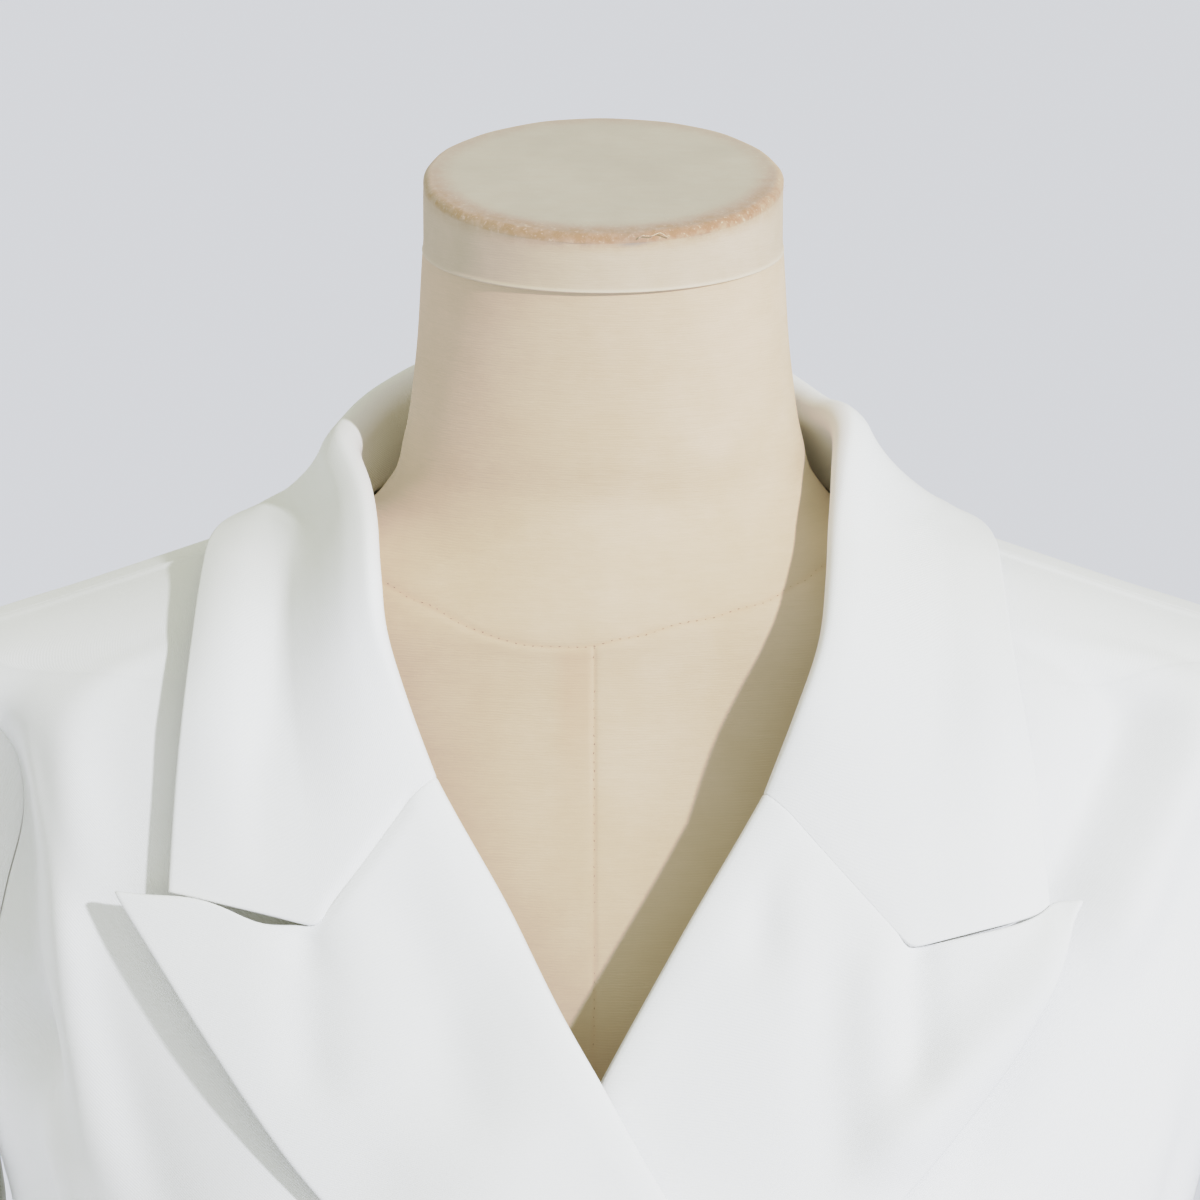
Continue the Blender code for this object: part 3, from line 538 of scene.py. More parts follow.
def finishTree(tree, given, points, shape, rotation, scale):
    placed = addNode(tree, "GeometryNodeInstanceOnPoints",
                     {"Points": points, "Instance": shape, "Rotation": rotation, "Scale": scale}).outputs[0]
    real = addNode(tree, "GeometryNodeRealizeInstances", {0: placed}).outputs[0]
    coloured = addNode(tree, "GeometryNodeSetMaterial", {"Geometry": real, "Material": given["Material"]}).outputs[0]
    smoothed = addNode(tree, "GeometryNodeSetShadeSmooth", {0: coloured}).outputs[0]
    tree.links.new(smoothed, tree.nodes.new("NodeGroupOutput").inputs[0])
    return tree


def grown(name, source, tree, values):
    # the plain mesh that a tree makes from a source piece
    modifier = source.modifiers.new(name, "NODES")
    modifier.node_group = tree
    for item in tree.interface.items_tree:
        if item.item_type == "SOCKET" and item.in_out == "INPUT" and item.name in values:
            modifier[item.identifier] = values[item.name]
    graph = bpy.context.evaluated_depsgraph_get()
    mesh = bpy.data.meshes.new_from_object(source.evaluated_get(graph))
    source.modifiers.clear()
    piece = bpy.data.objects.new(name, mesh)
    bpy.context.scene.collection.objects.link(piece)
    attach(piece, "root")
    return piece


def stitchTree():
    # stitches spaced along a line, lying along it or across it
    tree, given = geometryTree("stitches", {"Spacing": "Float", "Length": "Float", "Radius": "Float",
                                            "Across": "Float", "Uneven": "Float", "Seed": "Int"})
    line = addNode(tree, "GeometryNodeMeshToCurve", {0: given["Geometry"]}).outputs[0]
    points = addNode(tree, "GeometryNodeResampleCurve", {"Curve": line, "Length": given["Spacing"]}, mode="LENGTH")
    along = tree.nodes.new("GeometryNodeInputTangent").outputs[0]
    facing = addNode(tree, "GeometryNodeInputNamedAttribute", {"Name": "facing"}, data_type="FLOAT_VECTOR").outputs[0]
    across = addNode(tree, "ShaderNodeVectorMath", {0: along, 1: facing}, operation="CROSS_PRODUCT").outputs[0]
    uneven = addNode(tree, "ShaderNodeVectorMath", {0: randomNode(tree, given, "FLOAT_VECTOR", (-1, -1, -1), (1, 1, 1), 1),
                                                    "Scale": given["Uneven"]}, operation="SCALE").outputs[0]
    lying = tree.nodes.new("ShaderNodeMix")
    lying.data_type = "VECTOR"
    for socket, value in zip((0, 4, 5), (given["Across"], along, across)):
        tree.links.new(value, lying.inputs[socket])
    lying = addNode(tree, "ShaderNodeVectorMath", {0: lying.outputs[1], 1: uneven}, operation="ADD").outputs[0]
    rotation = addNode(tree, "FunctionNodeAlignRotationToVector", {"Vector": lying}, axis="Z").outputs[0]
    ball = addNode(tree, "GeometryNodeMeshUVSphere", {"Segments": 8, "Rings": 6, "Radius": 1.0}).outputs[0]
    half = mathNode(tree, "MULTIPLY", given["Length"], 0.5)
    size = addNode(tree, "ShaderNodeCombineXYZ", {0: given["Radius"], 1: given["Radius"], 2: half}).outputs[0]
    shape = addNode(tree, "GeometryNodeTransform", {"Geometry": ball, "Scale": size}).outputs[0]
    return finishTree(tree, given, points.outputs[0], shape, rotation,
                      randomNode(tree, given, "FLOAT", 0.8, 1.15, 2))


def fibreTree():
    # short bent fibres on the worn parts of a piece
    tree, given = geometryTree("fibres", {"Density": "Float", "Length": "Float", "Radius": "Float", "Seed": "Int"})
    wear = addNode(tree, "GeometryNodeInputNamedAttribute", {"Name": "wear"}, data_type="FLOAT").outputs[0]
    thick = mathNode(tree, "MULTIPLY", mathNode(tree, "POWER", wear, 3.0), given["Density"])
    points = addNode(tree, "GeometryNodeDistributePointsOnFaces",
                     {"Mesh": given["Geometry"], "Density": thick, "Seed": given["Seed"]})
    bend = addNode(tree, "GeometryNodeCurveQuadraticBezier",
                   {"Resolution": 4, "Start": (0, 0, 0), "Middle": (0.25, 0, 0.55), "End": (0.8, 0.15, 0.7)}).outputs[0]
    ring = addNode(tree, "GeometryNodeCurvePrimitiveCircle", {"Resolution": 3, "Radius": 0.5}).outputs[0]
    thin = addNode(tree, "ShaderNodeMath", {0: given["Radius"], 1: given["Length"]}, operation="DIVIDE").outputs[0]
    ring = addNode(tree, "GeometryNodeTransform", {"Geometry": ring, "Scale": thin}).outputs[0]
    shape = addNode(tree, "GeometryNodeCurveToMesh", {"Curve": bend, "Profile Curve": ring, "Fill Caps": True}).outputs[0]
    lean = randomNode(tree, given, "FLOAT_VECTOR", (-1.1, -1.1, -3.1), (1.1, 1.1, 3.1), 1)
    lean = addNode(tree, "FunctionNodeEulerToRotation", {0: lean}).outputs[0]
    rotation = addNode(tree, "FunctionNodeRotateRotation", {0: points.outputs["Rotation"], 1: lean},
                       rotation_space="LOCAL").outputs[0]
    scale = mathNode(tree, "MULTIPLY", randomNode(tree, given, "FLOAT", 0.35, 1.3, 2), given["Length"])
    return finishTree(tree, given, points.outputs[0], shape, rotation, scale)


def linePiece(lines):
    # lines of points with a facing direction at each, as a mesh of bare edges
    points = np.concatenate([line for line, _ in lines])
    edges = []
    for line, _ in lines:
        start = edges[-1][1] + 1 if edges else 0
        edges += [(start + k, start + k + 1) for k in range(len(line) - 1)]
    mesh = bpy.data.meshes.new("line")
    mesh.from_pydata(points.tolist(), edges, [])
    facing = mesh.attributes.new("facing", "FLOAT_VECTOR", "POINT")
    facing.data.foreach_set("vector", np.concatenate([way for _, way in lines]).ravel())
    piece = bpy.data.objects.new("line", mesh)
    bpy.context.scene.collection.objects.link(piece)
    return piece


def stitched(name, lines, look, material):
    source = linePiece(lines)
    piece = grown(name, source, stitches, {**look, "Material": material})
    bpy.data.objects.remove(source)
    return piece


stitches = stitchTree()

suitingLook = {
    "light": (0.895, 0.895, 0.895, 1),
    "dark": (0.865, 0.867, 0.870, 1),
    "threadsPerMetre": 1300,
    "weaveDepth": 0.00010,
    "crumpleDepth": 0.0006,
}


def suitingMaterial():
    look = suitingLook
    material, tree, shader = newMaterial("whiteSuiting")
    shader.inputs["Sheen Weight"].default_value = 0.12
    shader.inputs["Sheen Roughness"].default_value = 0.5
    shader.inputs["Specular IOR Level"].default_value = 0.25
    grain = addNode(tree, "ShaderNodeUVMap", uv_map="clothGrain").outputs[0]
    turned = addNode(tree, "ShaderNodeMapping", {0: grain, 2: (0, 0, math.radians(52))}).outputs[0]
    place = addNode(tree, "ShaderNodeTexCoord").outputs["Object"]
    # period of a wave texture's bands is 0.314 / scale
    twill = addNode(
        tree, "ShaderNodeTexWave",
        {"Vector": turned, "Scale": 0.314 * look["threadsPerMetre"], "Distortion": 1.2, "Detail": 1.0,
         "Detail Scale": 2.0},
        bands_direction="X").outputs[1]
    fibres = addNode(tree, "ShaderNodeTexNoise",
                     {"Vector": grain, "Scale": 2600.0, "Detail": 2.0, "Roughness": 0.6}).outputs[0]
    blotches = addNode(tree, "ShaderNodeTexNoise",
                       {"Vector": place, "Scale": 16.0, "Detail": 3.0, "Roughness": 0.5}).outputs[0]
    tint = mapRange(tree, blotches, 0.35, 0.65, 0.0, 1.0)
    colour = mixColours(tree, tint, look["light"], look["dark"])
    woven = mapRange(tree, mathNode(tree, "ADD", twill, fibres), 0.3, 1.7, 0.0, 0.10)
    tree.links.new(mixColours(tree, woven, colour, (0.78, 0.78, 0.79, 1)), shader.inputs["Base Color"])
    tree.links.new(mapRange(tree, fibres, 0.3, 0.7, 0.74, 0.88), shader.inputs["Roughness"])
    crumple = addNode(tree, "ShaderNodeBump",
                      {"Strength": 0.35, "Distance": look["crumpleDepth"], "Height": blotches})
    weave = mathNode(tree, "ADD", mathNode(tree, "MULTIPLY", twill, 0.6), fibres)
    bump = addNode(tree, "ShaderNodeBump",
                   {"Strength": 0.5, "Distance": look["weaveDepth"], "Height": weave,
                    "Normal": crumple.outputs[0]})
    tree.links.new(bump.outputs[0], shader.inputs["Normal"])
    return material


suiting = suitingMaterial()

# ---- fronts and backs

steps = bodySizes["rowStep"]
armholeZ = bodySizes["armpitZ"] + (bodySizes["shoulderTipZ"] - bodySizes["armpitZ"]) * (
    1 - np.cos(np.linspace(0, math.pi, 37))) / 2


def rowsUp(low, high, step):
    return np.linspace(low, high, max(2, round((high - low) / step) + 1))


def frontRows():
    s = bodySizes
    low = rowsUp(s["hemZ"], 0.480, s["rowStep"])
    foot = rowsUp(s["breakZ"], s["armpitZ"], 0.0045)
    top = rowsUp(s["shoulderTipZ"], 0.7618, 0.0016)
    hem = s["hemZ"] + np.array([0, 0.0012, 0.0032])
    return np.concatenate([hem, low[1:], foot[:-1], armholeZ, top[1:]])


def frontPanel(side, word):
    z = frontRows()[:, None]
    guide = np.radians(smooth(columnGuide, "angle", z))
    share = spread(bodySizes["frontColumns"], (0.0045, 0.013))
    angle = panelAngles(angleAt(frontEdgeX(side, z), z), armholeAngle(z, "front"), guide, share)
    z = np.broadcast_to(z, angle.shape)
    points, outward = clothPoint(side, angle, z)
    points = pulledIn(points, ("right",), bodySizes["seamGap"])
    piece = clothWall("front" + word, side, points, outward, suiting)
    finishPiece(piece, "front_" + word.lower())
    return piece


def backPanel(side, word):
    s = bodySizes
    low = rowsUp(s["hemZ"], s["armpitZ"], s["rowStep"])
    hem = s["hemZ"] + np.array([0, 0.0012, 0.0032])
    rows = np.concatenate([hem, low[1:-1], armholeZ, rowsUp(s["shoulderTipZ"], 0.735, 0.0018)[1:]])
    z = rows[:, None]
    guide = math.pi - np.radians(smooth(columnGuide, "angle", z))
    angle = panelAngles(math.pi, armholeAngle(z, "back"), guide, 1 - spread(s["backColumns"], (0.006, 0.016)))
    z = np.broadcast_to(z, angle.shape)
    above = np.array([*np.linspace(0, 1, 16)[1:-1], 0.965, 1.0])[:, None]
    topAngle = np.broadcast_to(angle[-1], (len(above), angle.shape[1]))
    neck = smooth(backNeck, "z", np.degrees(angle[-1]))
    angle = np.concatenate([angle, topAngle])
    z = np.concatenate([z, rows[-1] + (neck - rows[-1]) * above])
    points, outward = clothPoint(side, angle, z)
    points = pulledIn(points, ("left", "right"), s["seamGap"])
    piece = clothWall("back" + word, side, points, outward, suiting)
    finishPiece(piece, "back_" + word.lower())
    return piece


# ---- lapels and collar

lapelSizes = {
    "rollRadius": 0.0030,
    "footRadius": 0.0018,
    "footZ": 0.4930,
    "rows": 46,
    "thickness": 0.0024,
    "length": 0.21,
    "dipWidth": 0.0020,  # half width of the gorge seam's groove
    "gorgeColumns": 15,
    "notchColumns": 12,
}
rollTurns = np.radians(np.linspace(0, 135, 8))


def bentEdge(share, start, corner, end):
    start, corner, end = (np.array(p) for p in (start, corner, end))
    first = np.linalg.norm(corner - start)
    bend = first / (first + np.linalg.norm(end - corner))
    share = np.asarray(share)[..., None]
    before = start + (corner - start) * share / bend
    after = corner + (end - corner) * (share - bend) / (1 - bend)
    return np.where(share < bend, before, after), bend


def fallShares(bend):
    # shares across a lapel or the collar's fall, with a line on the notch
    s = lapelSizes
    before = np.linspace(0, bend, s["gorgeColumns"] + 1)
    after = np.linspace(bend, 1, s["notchColumns"] + 1)[1:-1]
    return np.concatenate([before, after, [0.982, 1.0]])


def rolledEdge(side, seamX, seamZ, turns):
    # the fold over a seam line: its points and outward directions at each turn
    seam, outward = clothPoint(side, angleAt(seamX, seamZ), seamZ)
    along = unit(np.gradient(seam, axis=0))
    inward = unit(np.cross(outward, along))
    radius = rollRadius(seamZ)[:, None]
    turns = turns[:, None, None]
    points = seam + inward * (0.0005 + radius * np.sin(turns))
    points = points + outward * radius * (1 - np.cos(turns))
    facing = inward * np.sin(turns) - outward * np.cos(turns)
    return np.moveaxis(points, 0, 1), np.moveaxis(facing, 0, 1)


def laidOff(share, start, end):
    return start + (end - start) * share**1.4 + 0.0010 * np.sin(math.pi * share)


def rollSeam(side, up):
    s = lapelSizes
    z = s["footZ"] - halves[side]["drop"] + (bodySizes["gorgeZ"] - s["footZ"]) * up
    return frontEdgeX(side, z - 1e-6), z


def lapel(side, word):
    s = lapelSizes
    half = halves[side]
    up = np.concatenate([[0, 0.008], np.linspace(0, 1, lapelSizes["rows"])[1:-1], [0.984, 0.990, 0.9955, 1]])
    seamX, seamZ = rollSeam(side, up)
    seam = np.stack([seamX, seamZ], axis=-1)
    edge = np.stack([smooth(lapelEdge, n, up) for n in "xz"], axis=-1)
    edge += np.stack([half["spread"] * up, -half["drop"] * np.ones_like(up)], axis=-1)
    _, bend = bentEdge(0.5, seam[-1], half["notch"], half["peak"])
    share = fallShares(bend)
    top, _ = bentEdge(share, seam[-1], half["notch"], half["peak"])
    topShare = np.clip((share - bend) / (1 - bend), 0, 1)
    for at, wide, rise in half["topWave"]:
        top[:, 1] += rise * bell(topShare - at, wide) * ease(topShare / 0.08)
    straightTop = seam[-1] + (edge[-1] - seam[-1]) * share[:, None]
    follow = ease((up - 0.35) / 0.65)[:, None, None]
    flat = seam[:, None] + (edge - seam)[:, None] * share[:, None]
    flat = flat + follow * (top - straightTop)

    startOff = 2 * rollRadius(seamZ)[:, None]
    endOff = (0.0036 + half["peakLift"] * ease((up - 0.45) / 0.4))[:, None]
    z = flat[..., 1]
    crease = creaseDepth(lapelCreases[side], flat[..., 0], z) * ease(share / 0.15)
    gorge = ease((bend - share) / 0.08) * ease(share / 0.08)
    dip = half["gorgeDip"] * bell((1 - up[:, None]) * s["length"], s["dipWidth"]) * gorge
    off = laidOff(share, startOff, endOff) - crease - dip
    laid, _ = clothPoint(side, angleAt(flat[..., 0], z), z, off)
    rolled, facing = rolledEdge(side, seamX, seamZ, rollTurns)
    points = np.concatenate([rolled, laid[:, 1:]], axis=1)
    outward = facingOut(points)
    outward[:, : len(rollTurns)] = facing
    points = pulledIn(points, ("top",), bodySizes["seamMeet"])
    piece = clothWall("lapel" + word, side, points, outward, suiting, lapelSizes["thickness"])
    finishPiece(piece, "lapel_" + word.lower())
    return piece


collarSizes = {
    "rowsPerHalf": 52,
    "standColumns": 7,
    "foldRadius": 0.0030,
    "sideRoll": 0.0020,  # added to the fold's radius round the neck
    "thickness": 0.0024,
    "clearance": 0.0031,
    "tuckedUnder": 0.0013,
}

# the fall's shape from the fold to the edge: a hollow, then a swelling
collarWave = table(
    "share rise",
    (0.00, 0.0000),
    (0.08, -0.0001),
    (0.20, -0.0009),
    (0.35, -0.0023),
    (0.50, -0.0038),
    (0.60, -0.0047),
    (0.65, -0.0045),
    (0.70, -0.0025),
    (0.76, -0.0002),
    (0.83, 0.0010),
    (0.91, 0.0014),
    (1.00, 0.0010),
)

# from the gorge round to the centre back: seam, fold and edge
collarLine = table(
    "step seamZ seamAngle foldX foldY foldZ edgeX edgeY edgeZ sag wave",
    (0, 0.7005, 11, 0.0462, -0.0844, 0.7028, 0.1195, -0.0842, 0.6702, 0.0000, 0.30),
    (1, 0.7200, 15, 0.0551, -0.0760, 0.7243, 0.1176, -0.0747, 0.7006, 0.0000, 0.90),
    (2, 0.7350, 22, 0.0618, -0.0640, 0.7417, 0.1159, -0.0675, 0.7226, 0.0004, 1.15),
    (3, 0.7440, 30, 0.0643, -0.0500, 0.7565, 0.1142, -0.0489, 0.7415, 0.0010, 1.15),
    (4, 0.7530, 42, 0.0660, -0.0340, 0.7685, 0.1136, -0.0260, 0.7516, 0.0020, 0.95),
    (5, 0.7595, 59, 0.0690, -0.0190, 0.7768, 0.1135, -0.0070, 0.7548, 0.0038, 0.50),
    (6, 0.7625, 90, 0.0742, 0.0020, 0.7845, 0.1105, 0.0140, 0.7560, 0.0046, 0.12),
    (7, 0.7625, 113, 0.0725, 0.0200, 0.7872, 0.1030, 0.0350, 0.7545, 0.0034, 0.00),
    (8, 0.7625, 135, 0.0635, 0.0400, 0.7930, 0.0860, 0.0590, 0.7530, 0.0015, 0.00),
    (9, 0.7625, 158, 0.0420, 0.0580, 0.8010, 0.0500, 0.0800, 0.7520, 0.0000, 0.00),
    (10, 0.7625, 180, 0.0000, 0.0670, 0.8070, 0.0000, 0.0890, 0.7515, 0.0000, 0.00),
)


def ringsGap(point):
    # how far a point lies outside the body's cloth, and the outward direction
    side = bodySizes["sideY"]

    def level(p):
        z = np.clip(p[..., 2], bodySizes["hemZ"], 0.780)
        power = smooth(bodyRings, "square", z)
        depth = np.where(p[..., 1] < side, smooth(bodyRings, "front", z), smooth(bodyRings, "back", z))
        x = np.abs(p[..., 0]) / smooth(bodyRings, "width", z)
        y = np.abs(p[..., 1] - side) / depth
        return (x**power + y**power) ** (1 / power) - 1

    step = 1e-4
    slope = [(level(point + d) - level(point - d)) / (2 * step) for d in np.eye(3) * step]
    slope = np.stack(slope, -1)
    size = np.linalg.norm(slope, axis=-1, keepdims=True)
    return level(point) / size[..., 0], slope / size


def pressedOut(points, clearance):
    softness = 0.0010
    for _ in range(3):
        gap, outward = ringsGap(points)
        push = softness * np.logaddexp(0, (clearance - gap) / softness)
        points = points + outward * np.minimum(push, 0.02)[..., None]
    return points


def collarHalf(side):
    half = halves[side]
    sizes = collarSizes
    step = np.concatenate([[0, 0.02, 0.045, 0.08, 0.13], np.linspace(0, 10, sizes["rowsPerHalf"])[1:]])
    row = {name: smooth(collarLine, name, step) for name in collarLine}
    frontShare = ease(1 - step / 6)
    hang = np.stack([half["spread"] * 1.5 * frontShare, 0 * step, -half["drop"] * frontShare], -1)
    inFront = step <= 6
    seamZ = row["seamZ"] - half["drop"] * frontShare
    neckX = smooth(frontNeck, "x", row["seamZ"])
    seamAngle = np.where(inFront, angleAt(neckX, seamZ), np.radians(row["seamAngle"]))
    seamZ = np.where(inFront, seamZ, smooth(backNeck, "z", row["seamAngle"]))
    seam, _ = clothPoint(side, seamAngle, seamZ)
    fold = np.stack([row["foldX"], row["foldY"], row["foldZ"]], -1) + hang * (0, 1, 1)
    fold += half["rollOut"] * bell(step - half["rollAt"], 1.7)[:, None] * np.array([0, -0.978, 0.208])
    fold[:, 0] -= half["tuck"] * bell(step - 7.2, 1.5)
    fold[:, 2] += half["ridge"] * bell(step - 6.0, 1.4)
    edge = np.stack([row["edgeX"], row["edgeY"], row["edgeZ"]], -1) + hang

    along = unit(np.gradient(fold, axis=0))
    falls = unit(edge - fold)
    height = np.linalg.norm(seam - fold, axis=-1, keepdims=True)
    stands = (seam - fold) / height
    crown = -unit(falls + stands * np.clip((height - 0.007) / 0.012, 0, 1))
    crown = unit(crown - along * np.sum(crown * along, -1, keepdims=True))
    flat = unit(np.cross(along, crown))
    radius = (sizes["foldRadius"] + sizes["sideRoll"] * ease((step - 3) / 4))[:, None]
    centre = fold - crown * radius
    innerTop = centre - flat * radius
    outerTop = centre + flat * radius
    under = sizes["tuckedUnder"] * ease((step - 3) / 1.5)[:, None]
    seam = seam - flat * under - crown * under * 0.7 + unit(innerTop - seam) * 0.0010
    turns = rollTurns[1:, None, None]
    turned = centre - flat * radius * np.cos(turns) + crown * radius * np.sin(turns)
    radius = sizes["foldRadius"]
    turnedFace = crown * np.sin(turns) - flat * np.cos(turns)

    seamX, rollZ = rollSeam(side, np.linspace(0, 1, 40))
    start = (seamX[-1], rollZ[-1])
    _, bend = bentEdge(0.5, start, half["notch"], half["collarCorner"])
    share = fallShares(bend)[1:]
    endLine, _ = bentEdge(share, start, half["notch"], half["collarCorner"])
    endLine[:, 1] += half["bow"] * np.sin(math.pi * np.clip((share - bend) / (1 - bend), 0, 1))
    endOff = laidOff(share, 2 * radius, 0.0076)
    endFall, endOutward = clothPoint(side, angleAt(endLine[:, 0], endLine[:, 1]), endLine[:, 1], endOff)
    standShares = np.linspace(0, 1, sizes["standColumns"])
    endTurns = np.radians(np.concatenate([
        30 * standShares, np.interp(np.degrees(rollTurns[1:]), (0, 45, 135), (30, 45, 135))]))
    endRoll, endFace = rolledEdge(side, seamX, rollZ, endTurns)

    fall = outerTop[:, None] + (edge - outerTop)[:, None] * share[:, None]
    wave = half["waviness"] * row["wave"][:, None] * smooth(collarWave, "rise", share)
    sag = (row["sag"][:, None] * np.sin(math.pi * share**0.85) - wave)[..., None]
    fall = pressedOut(fall - flat[:, None] * sag, sizes["clearance"])
    stand = seam[:, None] + (innerTop - seam)[:, None] * standShares[:, None]
    points = np.concatenate([stand, np.moveaxis(turned, 0, 1), fall], 1)
    gorge = np.concatenate([endRoll[-1], endFall])
    follow = ease(1 - step / 3.0)[:, None, None]
    points = points + follow * (gorge - points[:1])
    dip = half["gorgeDip"] * bell(step[:, None] * 0.020, lapelSizes["dipWidth"]) * ease((bend - share) / 0.08)
    points[:, -len(share):] -= (dip * ease(share / 0.08))[..., None] * endOutward
    face = np.concatenate([np.repeat(-flat[:, None], len(standShares), 1), np.moveaxis(turnedFace, 0, 1)], 1)
    face = unit(face + follow * (endFace[-1:] - face[:1]))
    return points, face


def collar():
    leftHalf, leftFace = collarHalf(1)
    rightHalf, rightFace = (grid * (-1, 1, 1) for grid in collarHalf(-1))
    middle = (leftHalf[-1] + rightHalf[-1]) / 2
    points = np.concatenate([leftHalf[:-1], middle[None], rightHalf[-2::-1]])
    face = np.concatenate([leftFace, rightFace[-2::-1]])
    outward = facingOut(points)
    outward[:, : face.shape[1]] = face
    points = pulledIn(points, ("bottom", "top"), bodySizes["seamMeet"])
    piece = clothWall("notchedCollar", 1, points, outward, suiting, collarSizes["thickness"])
    finishPiece(piece, "collar")
    return piece


# ---- sleeves

sleeveSizes = {
    "around": 72,
    "seamTurn": 105,  # from the outer middle to each seam, in degrees
    "capRings": 22,
    "rowStep": 0.0065,
    "cuffZ": 0.145,
}

sleeveTube = table(
    "z x y halfX halfY",
    (0.145, 0.2270, -0.034, 0.0245, 0.056),
    (0.250, 0.2230, -0.018, 0.0270, 0.060),
    (0.350, 0.2185, -0.005, 0.0300, 0.065),
    (0.450, 0.2160, 0.003, 0.0320, 0.069),
    (0.545, 0.2155, 0.006, 0.0340, 0.072),
)

# height and angle of the middle, rise across, depth, half height
sleeveFolds = (
    (0.395, 100, 0.016, 0.0052, 0.010),
    (0.365, 75, -0.012, 0.0046, 0.009),
    (0.330, 110, 0.010, -0.0030, 0.010),
    (0.470, 80, 0.020, 0.0040, 0.011),
    (0.235, 95, 0.014, 0.0036, 0.012),
)


def sleeveTurns():
    s = sleeveSizes
    seam = s["seamTurn"]
    top = spread(round(s["around"] * seam / 180), (0.008, 0.022)) * 2 * seam - seam
    under = spread(round(s["around"] * (180 - seam) / 180), (0.011, 0.030)) * (360 - 2 * seam) + seam
    return np.radians(top), np.radians(under)


def sleeveGrid(side, turn):
    # rings of the sleeve from the armhole to the cuff; turn 0 faces out and 90 degrees the front
    high = (1 + np.cos(turn)) / 2
    z = bodySizes["armpitZ"] + (bodySizes["shoulderTipZ"] - bodySizes["armpitZ"]) * high
    ahead = np.sin(turn) >= 0
    angle = np.where(ahead, armholeAngle(z, "front"), armholeAngle(z, "back"))
    hole, _ = clothPoint(side, angle, z)
    forward = np.sin(turn)
    leave = unit(np.stack([0.75 + 0.25 * high, -0.42 * forward, -0.50 + 0.60 * high], -1))
    hole = hole + leave * 0.0002
    upperZ = sleeveTube["z"][-1]

    def tube(z):
        size = {name: smooth(sleeveTube, name, z) for name in sleeveTube}
        x = size["x"] + size["halfX"] * np.sign(np.cos(turn)) * np.abs(np.cos(turn)) ** 0.9
        y = size["y"] - size["halfY"] * forward
        return np.stack(np.broadcast_arrays(x, y, z), -1)

    startPull = (0.030 + 0.080 * high)[:, None] * leave
    endPull = (0.020 + 0.150 * high)[:, None] * np.array([0, 0, -1.0])
    below = tube(upperZ)
    rings = []
    for t in np.concatenate([[0, 0.012, 0.03], np.linspace(0, 1, sleeveSizes["capRings"])[1:]]):
        cubic = (2 * t**3 - 3 * t**2 + 1, t**3 - 2 * t**2 + t, 3 * t**2 - 2 * t**3, t**3 - t**2)
        rings.append(cubic[0] * hole + cubic[1] * startPull + cubic[2] * below + cubic[3] * endPull)
    rows = rowsUp(sleeveSizes["cuffZ"], upperZ, sleeveSizes["rowStep"])[::-1][1:-1]
    rows = [*rows, sleeveSizes["cuffZ"] + 0.0035, sleeveSizes["cuffZ"] + 0.0013, sleeveSizes["cuffZ"]]
    points = np.array(rings + [tube(z) for z in rows])
    around = np.gradient(points, axis=1)
    outward = unit(np.cross(np.gradient(points, axis=0), around))
    degrees = np.degrees((turn + math.pi) % (2 * math.pi) - math.pi)
    depth = np.zeros(points.shape[:2])
    for z, middle, rise, deep, tall in sleeveFolds:
        aside = degrees - (middle if side > 0 else middle * 0.8 - 8)
        lift = points[..., 2] - z - (0.012 if side < 0 else 0) - rise * aside / 60
        depth += deep * bell(lift, tall) * bell(aside, 55)
    return points - outward * depth[..., None], outward


def sleeve(side, word):
    for part, turn in zip(("Top", "Under"), sleeveTurns()):
        points, outward = sleeveGrid(side, turn)
        points, outward = points[::-1, ::-1], outward[::-1, ::-1]
        points = pulledIn(points, ("left", "right"), bodySizes["seamGap"])
        piece = clothWall(f"sleeve{part}{word}", side, points, outward, suiting)
        finishPiece(piece, f"sleeve_{part.lower()}_{word.lower()}")


for side, word in ((-1, "Right"), (1, "Left")):
    frontPanel(side, word)
    backPanel(side, word)
    lapel(side, word)
    sleeve(side, word)
collar()
print("cloth made")

# ---- the dress form

formSizes = {
    "around": 168,
    "rowStep": 0.0062,
    "footZ": 0.0183,
    "neckTopZ": 0.8398,
    "frontSeamX": -0.0026,
    "grooveDepth": 0.00030,
    "grooveWidth": 0.0006,
    "baseThickness": 0.018,
}

formRings = table(
    "z width front back square",
    (0.0183, 0.150, 0.098, 0.098, 2.2),
    (0.100, 0.164, 0.106, 0.113, 2.2),
    (0.200, 0.170, 0.110, 0.118, 2.2),
    (0.300, 0.148, 0.104, 0.096, 2.2),
    (0.395, 0.122, 0.090, 0.069, 2.2),
    (0.470, 0.136, 0.103, 0.079, 2.2),
    (0.545, 0.152, 0.119, 0.092, 2.2),
    (0.600, 0.162, 0.098, 0.098, 2.2),
    (0.660, 0.168, 0.0752, 0.096, 1.75),
    (0.700, 0.169, 0.0603, 0.089, 1.6),
    (0.718, 0.1655, 0.0563, 0.082, 1.6),
    (0.7265, 0.1608, 0.0552, 0.078, 1.6),
    (0.735, 0.1542, 0.0548, 0.074, 1.62),
    (0.7455, 0.1222, 0.0520, 0.070, 1.66),
    (0.755, 0.0958, 0.0480, 0.066, 1.7),
    (0.7625, 0.0731, 0.0455, 0.0625, 1.85),
    (0.772, 0.0624, 0.0430, 0.0590, 2.0),
    (0.785, 0.0580, 0.0445, 0.0555, 2.0),
    (0.805, 0.0548, 0.0460, 0.0535, 2.0),
    (0.8398, 0.0522, 0.0525, 0.0515, 2.0),
)

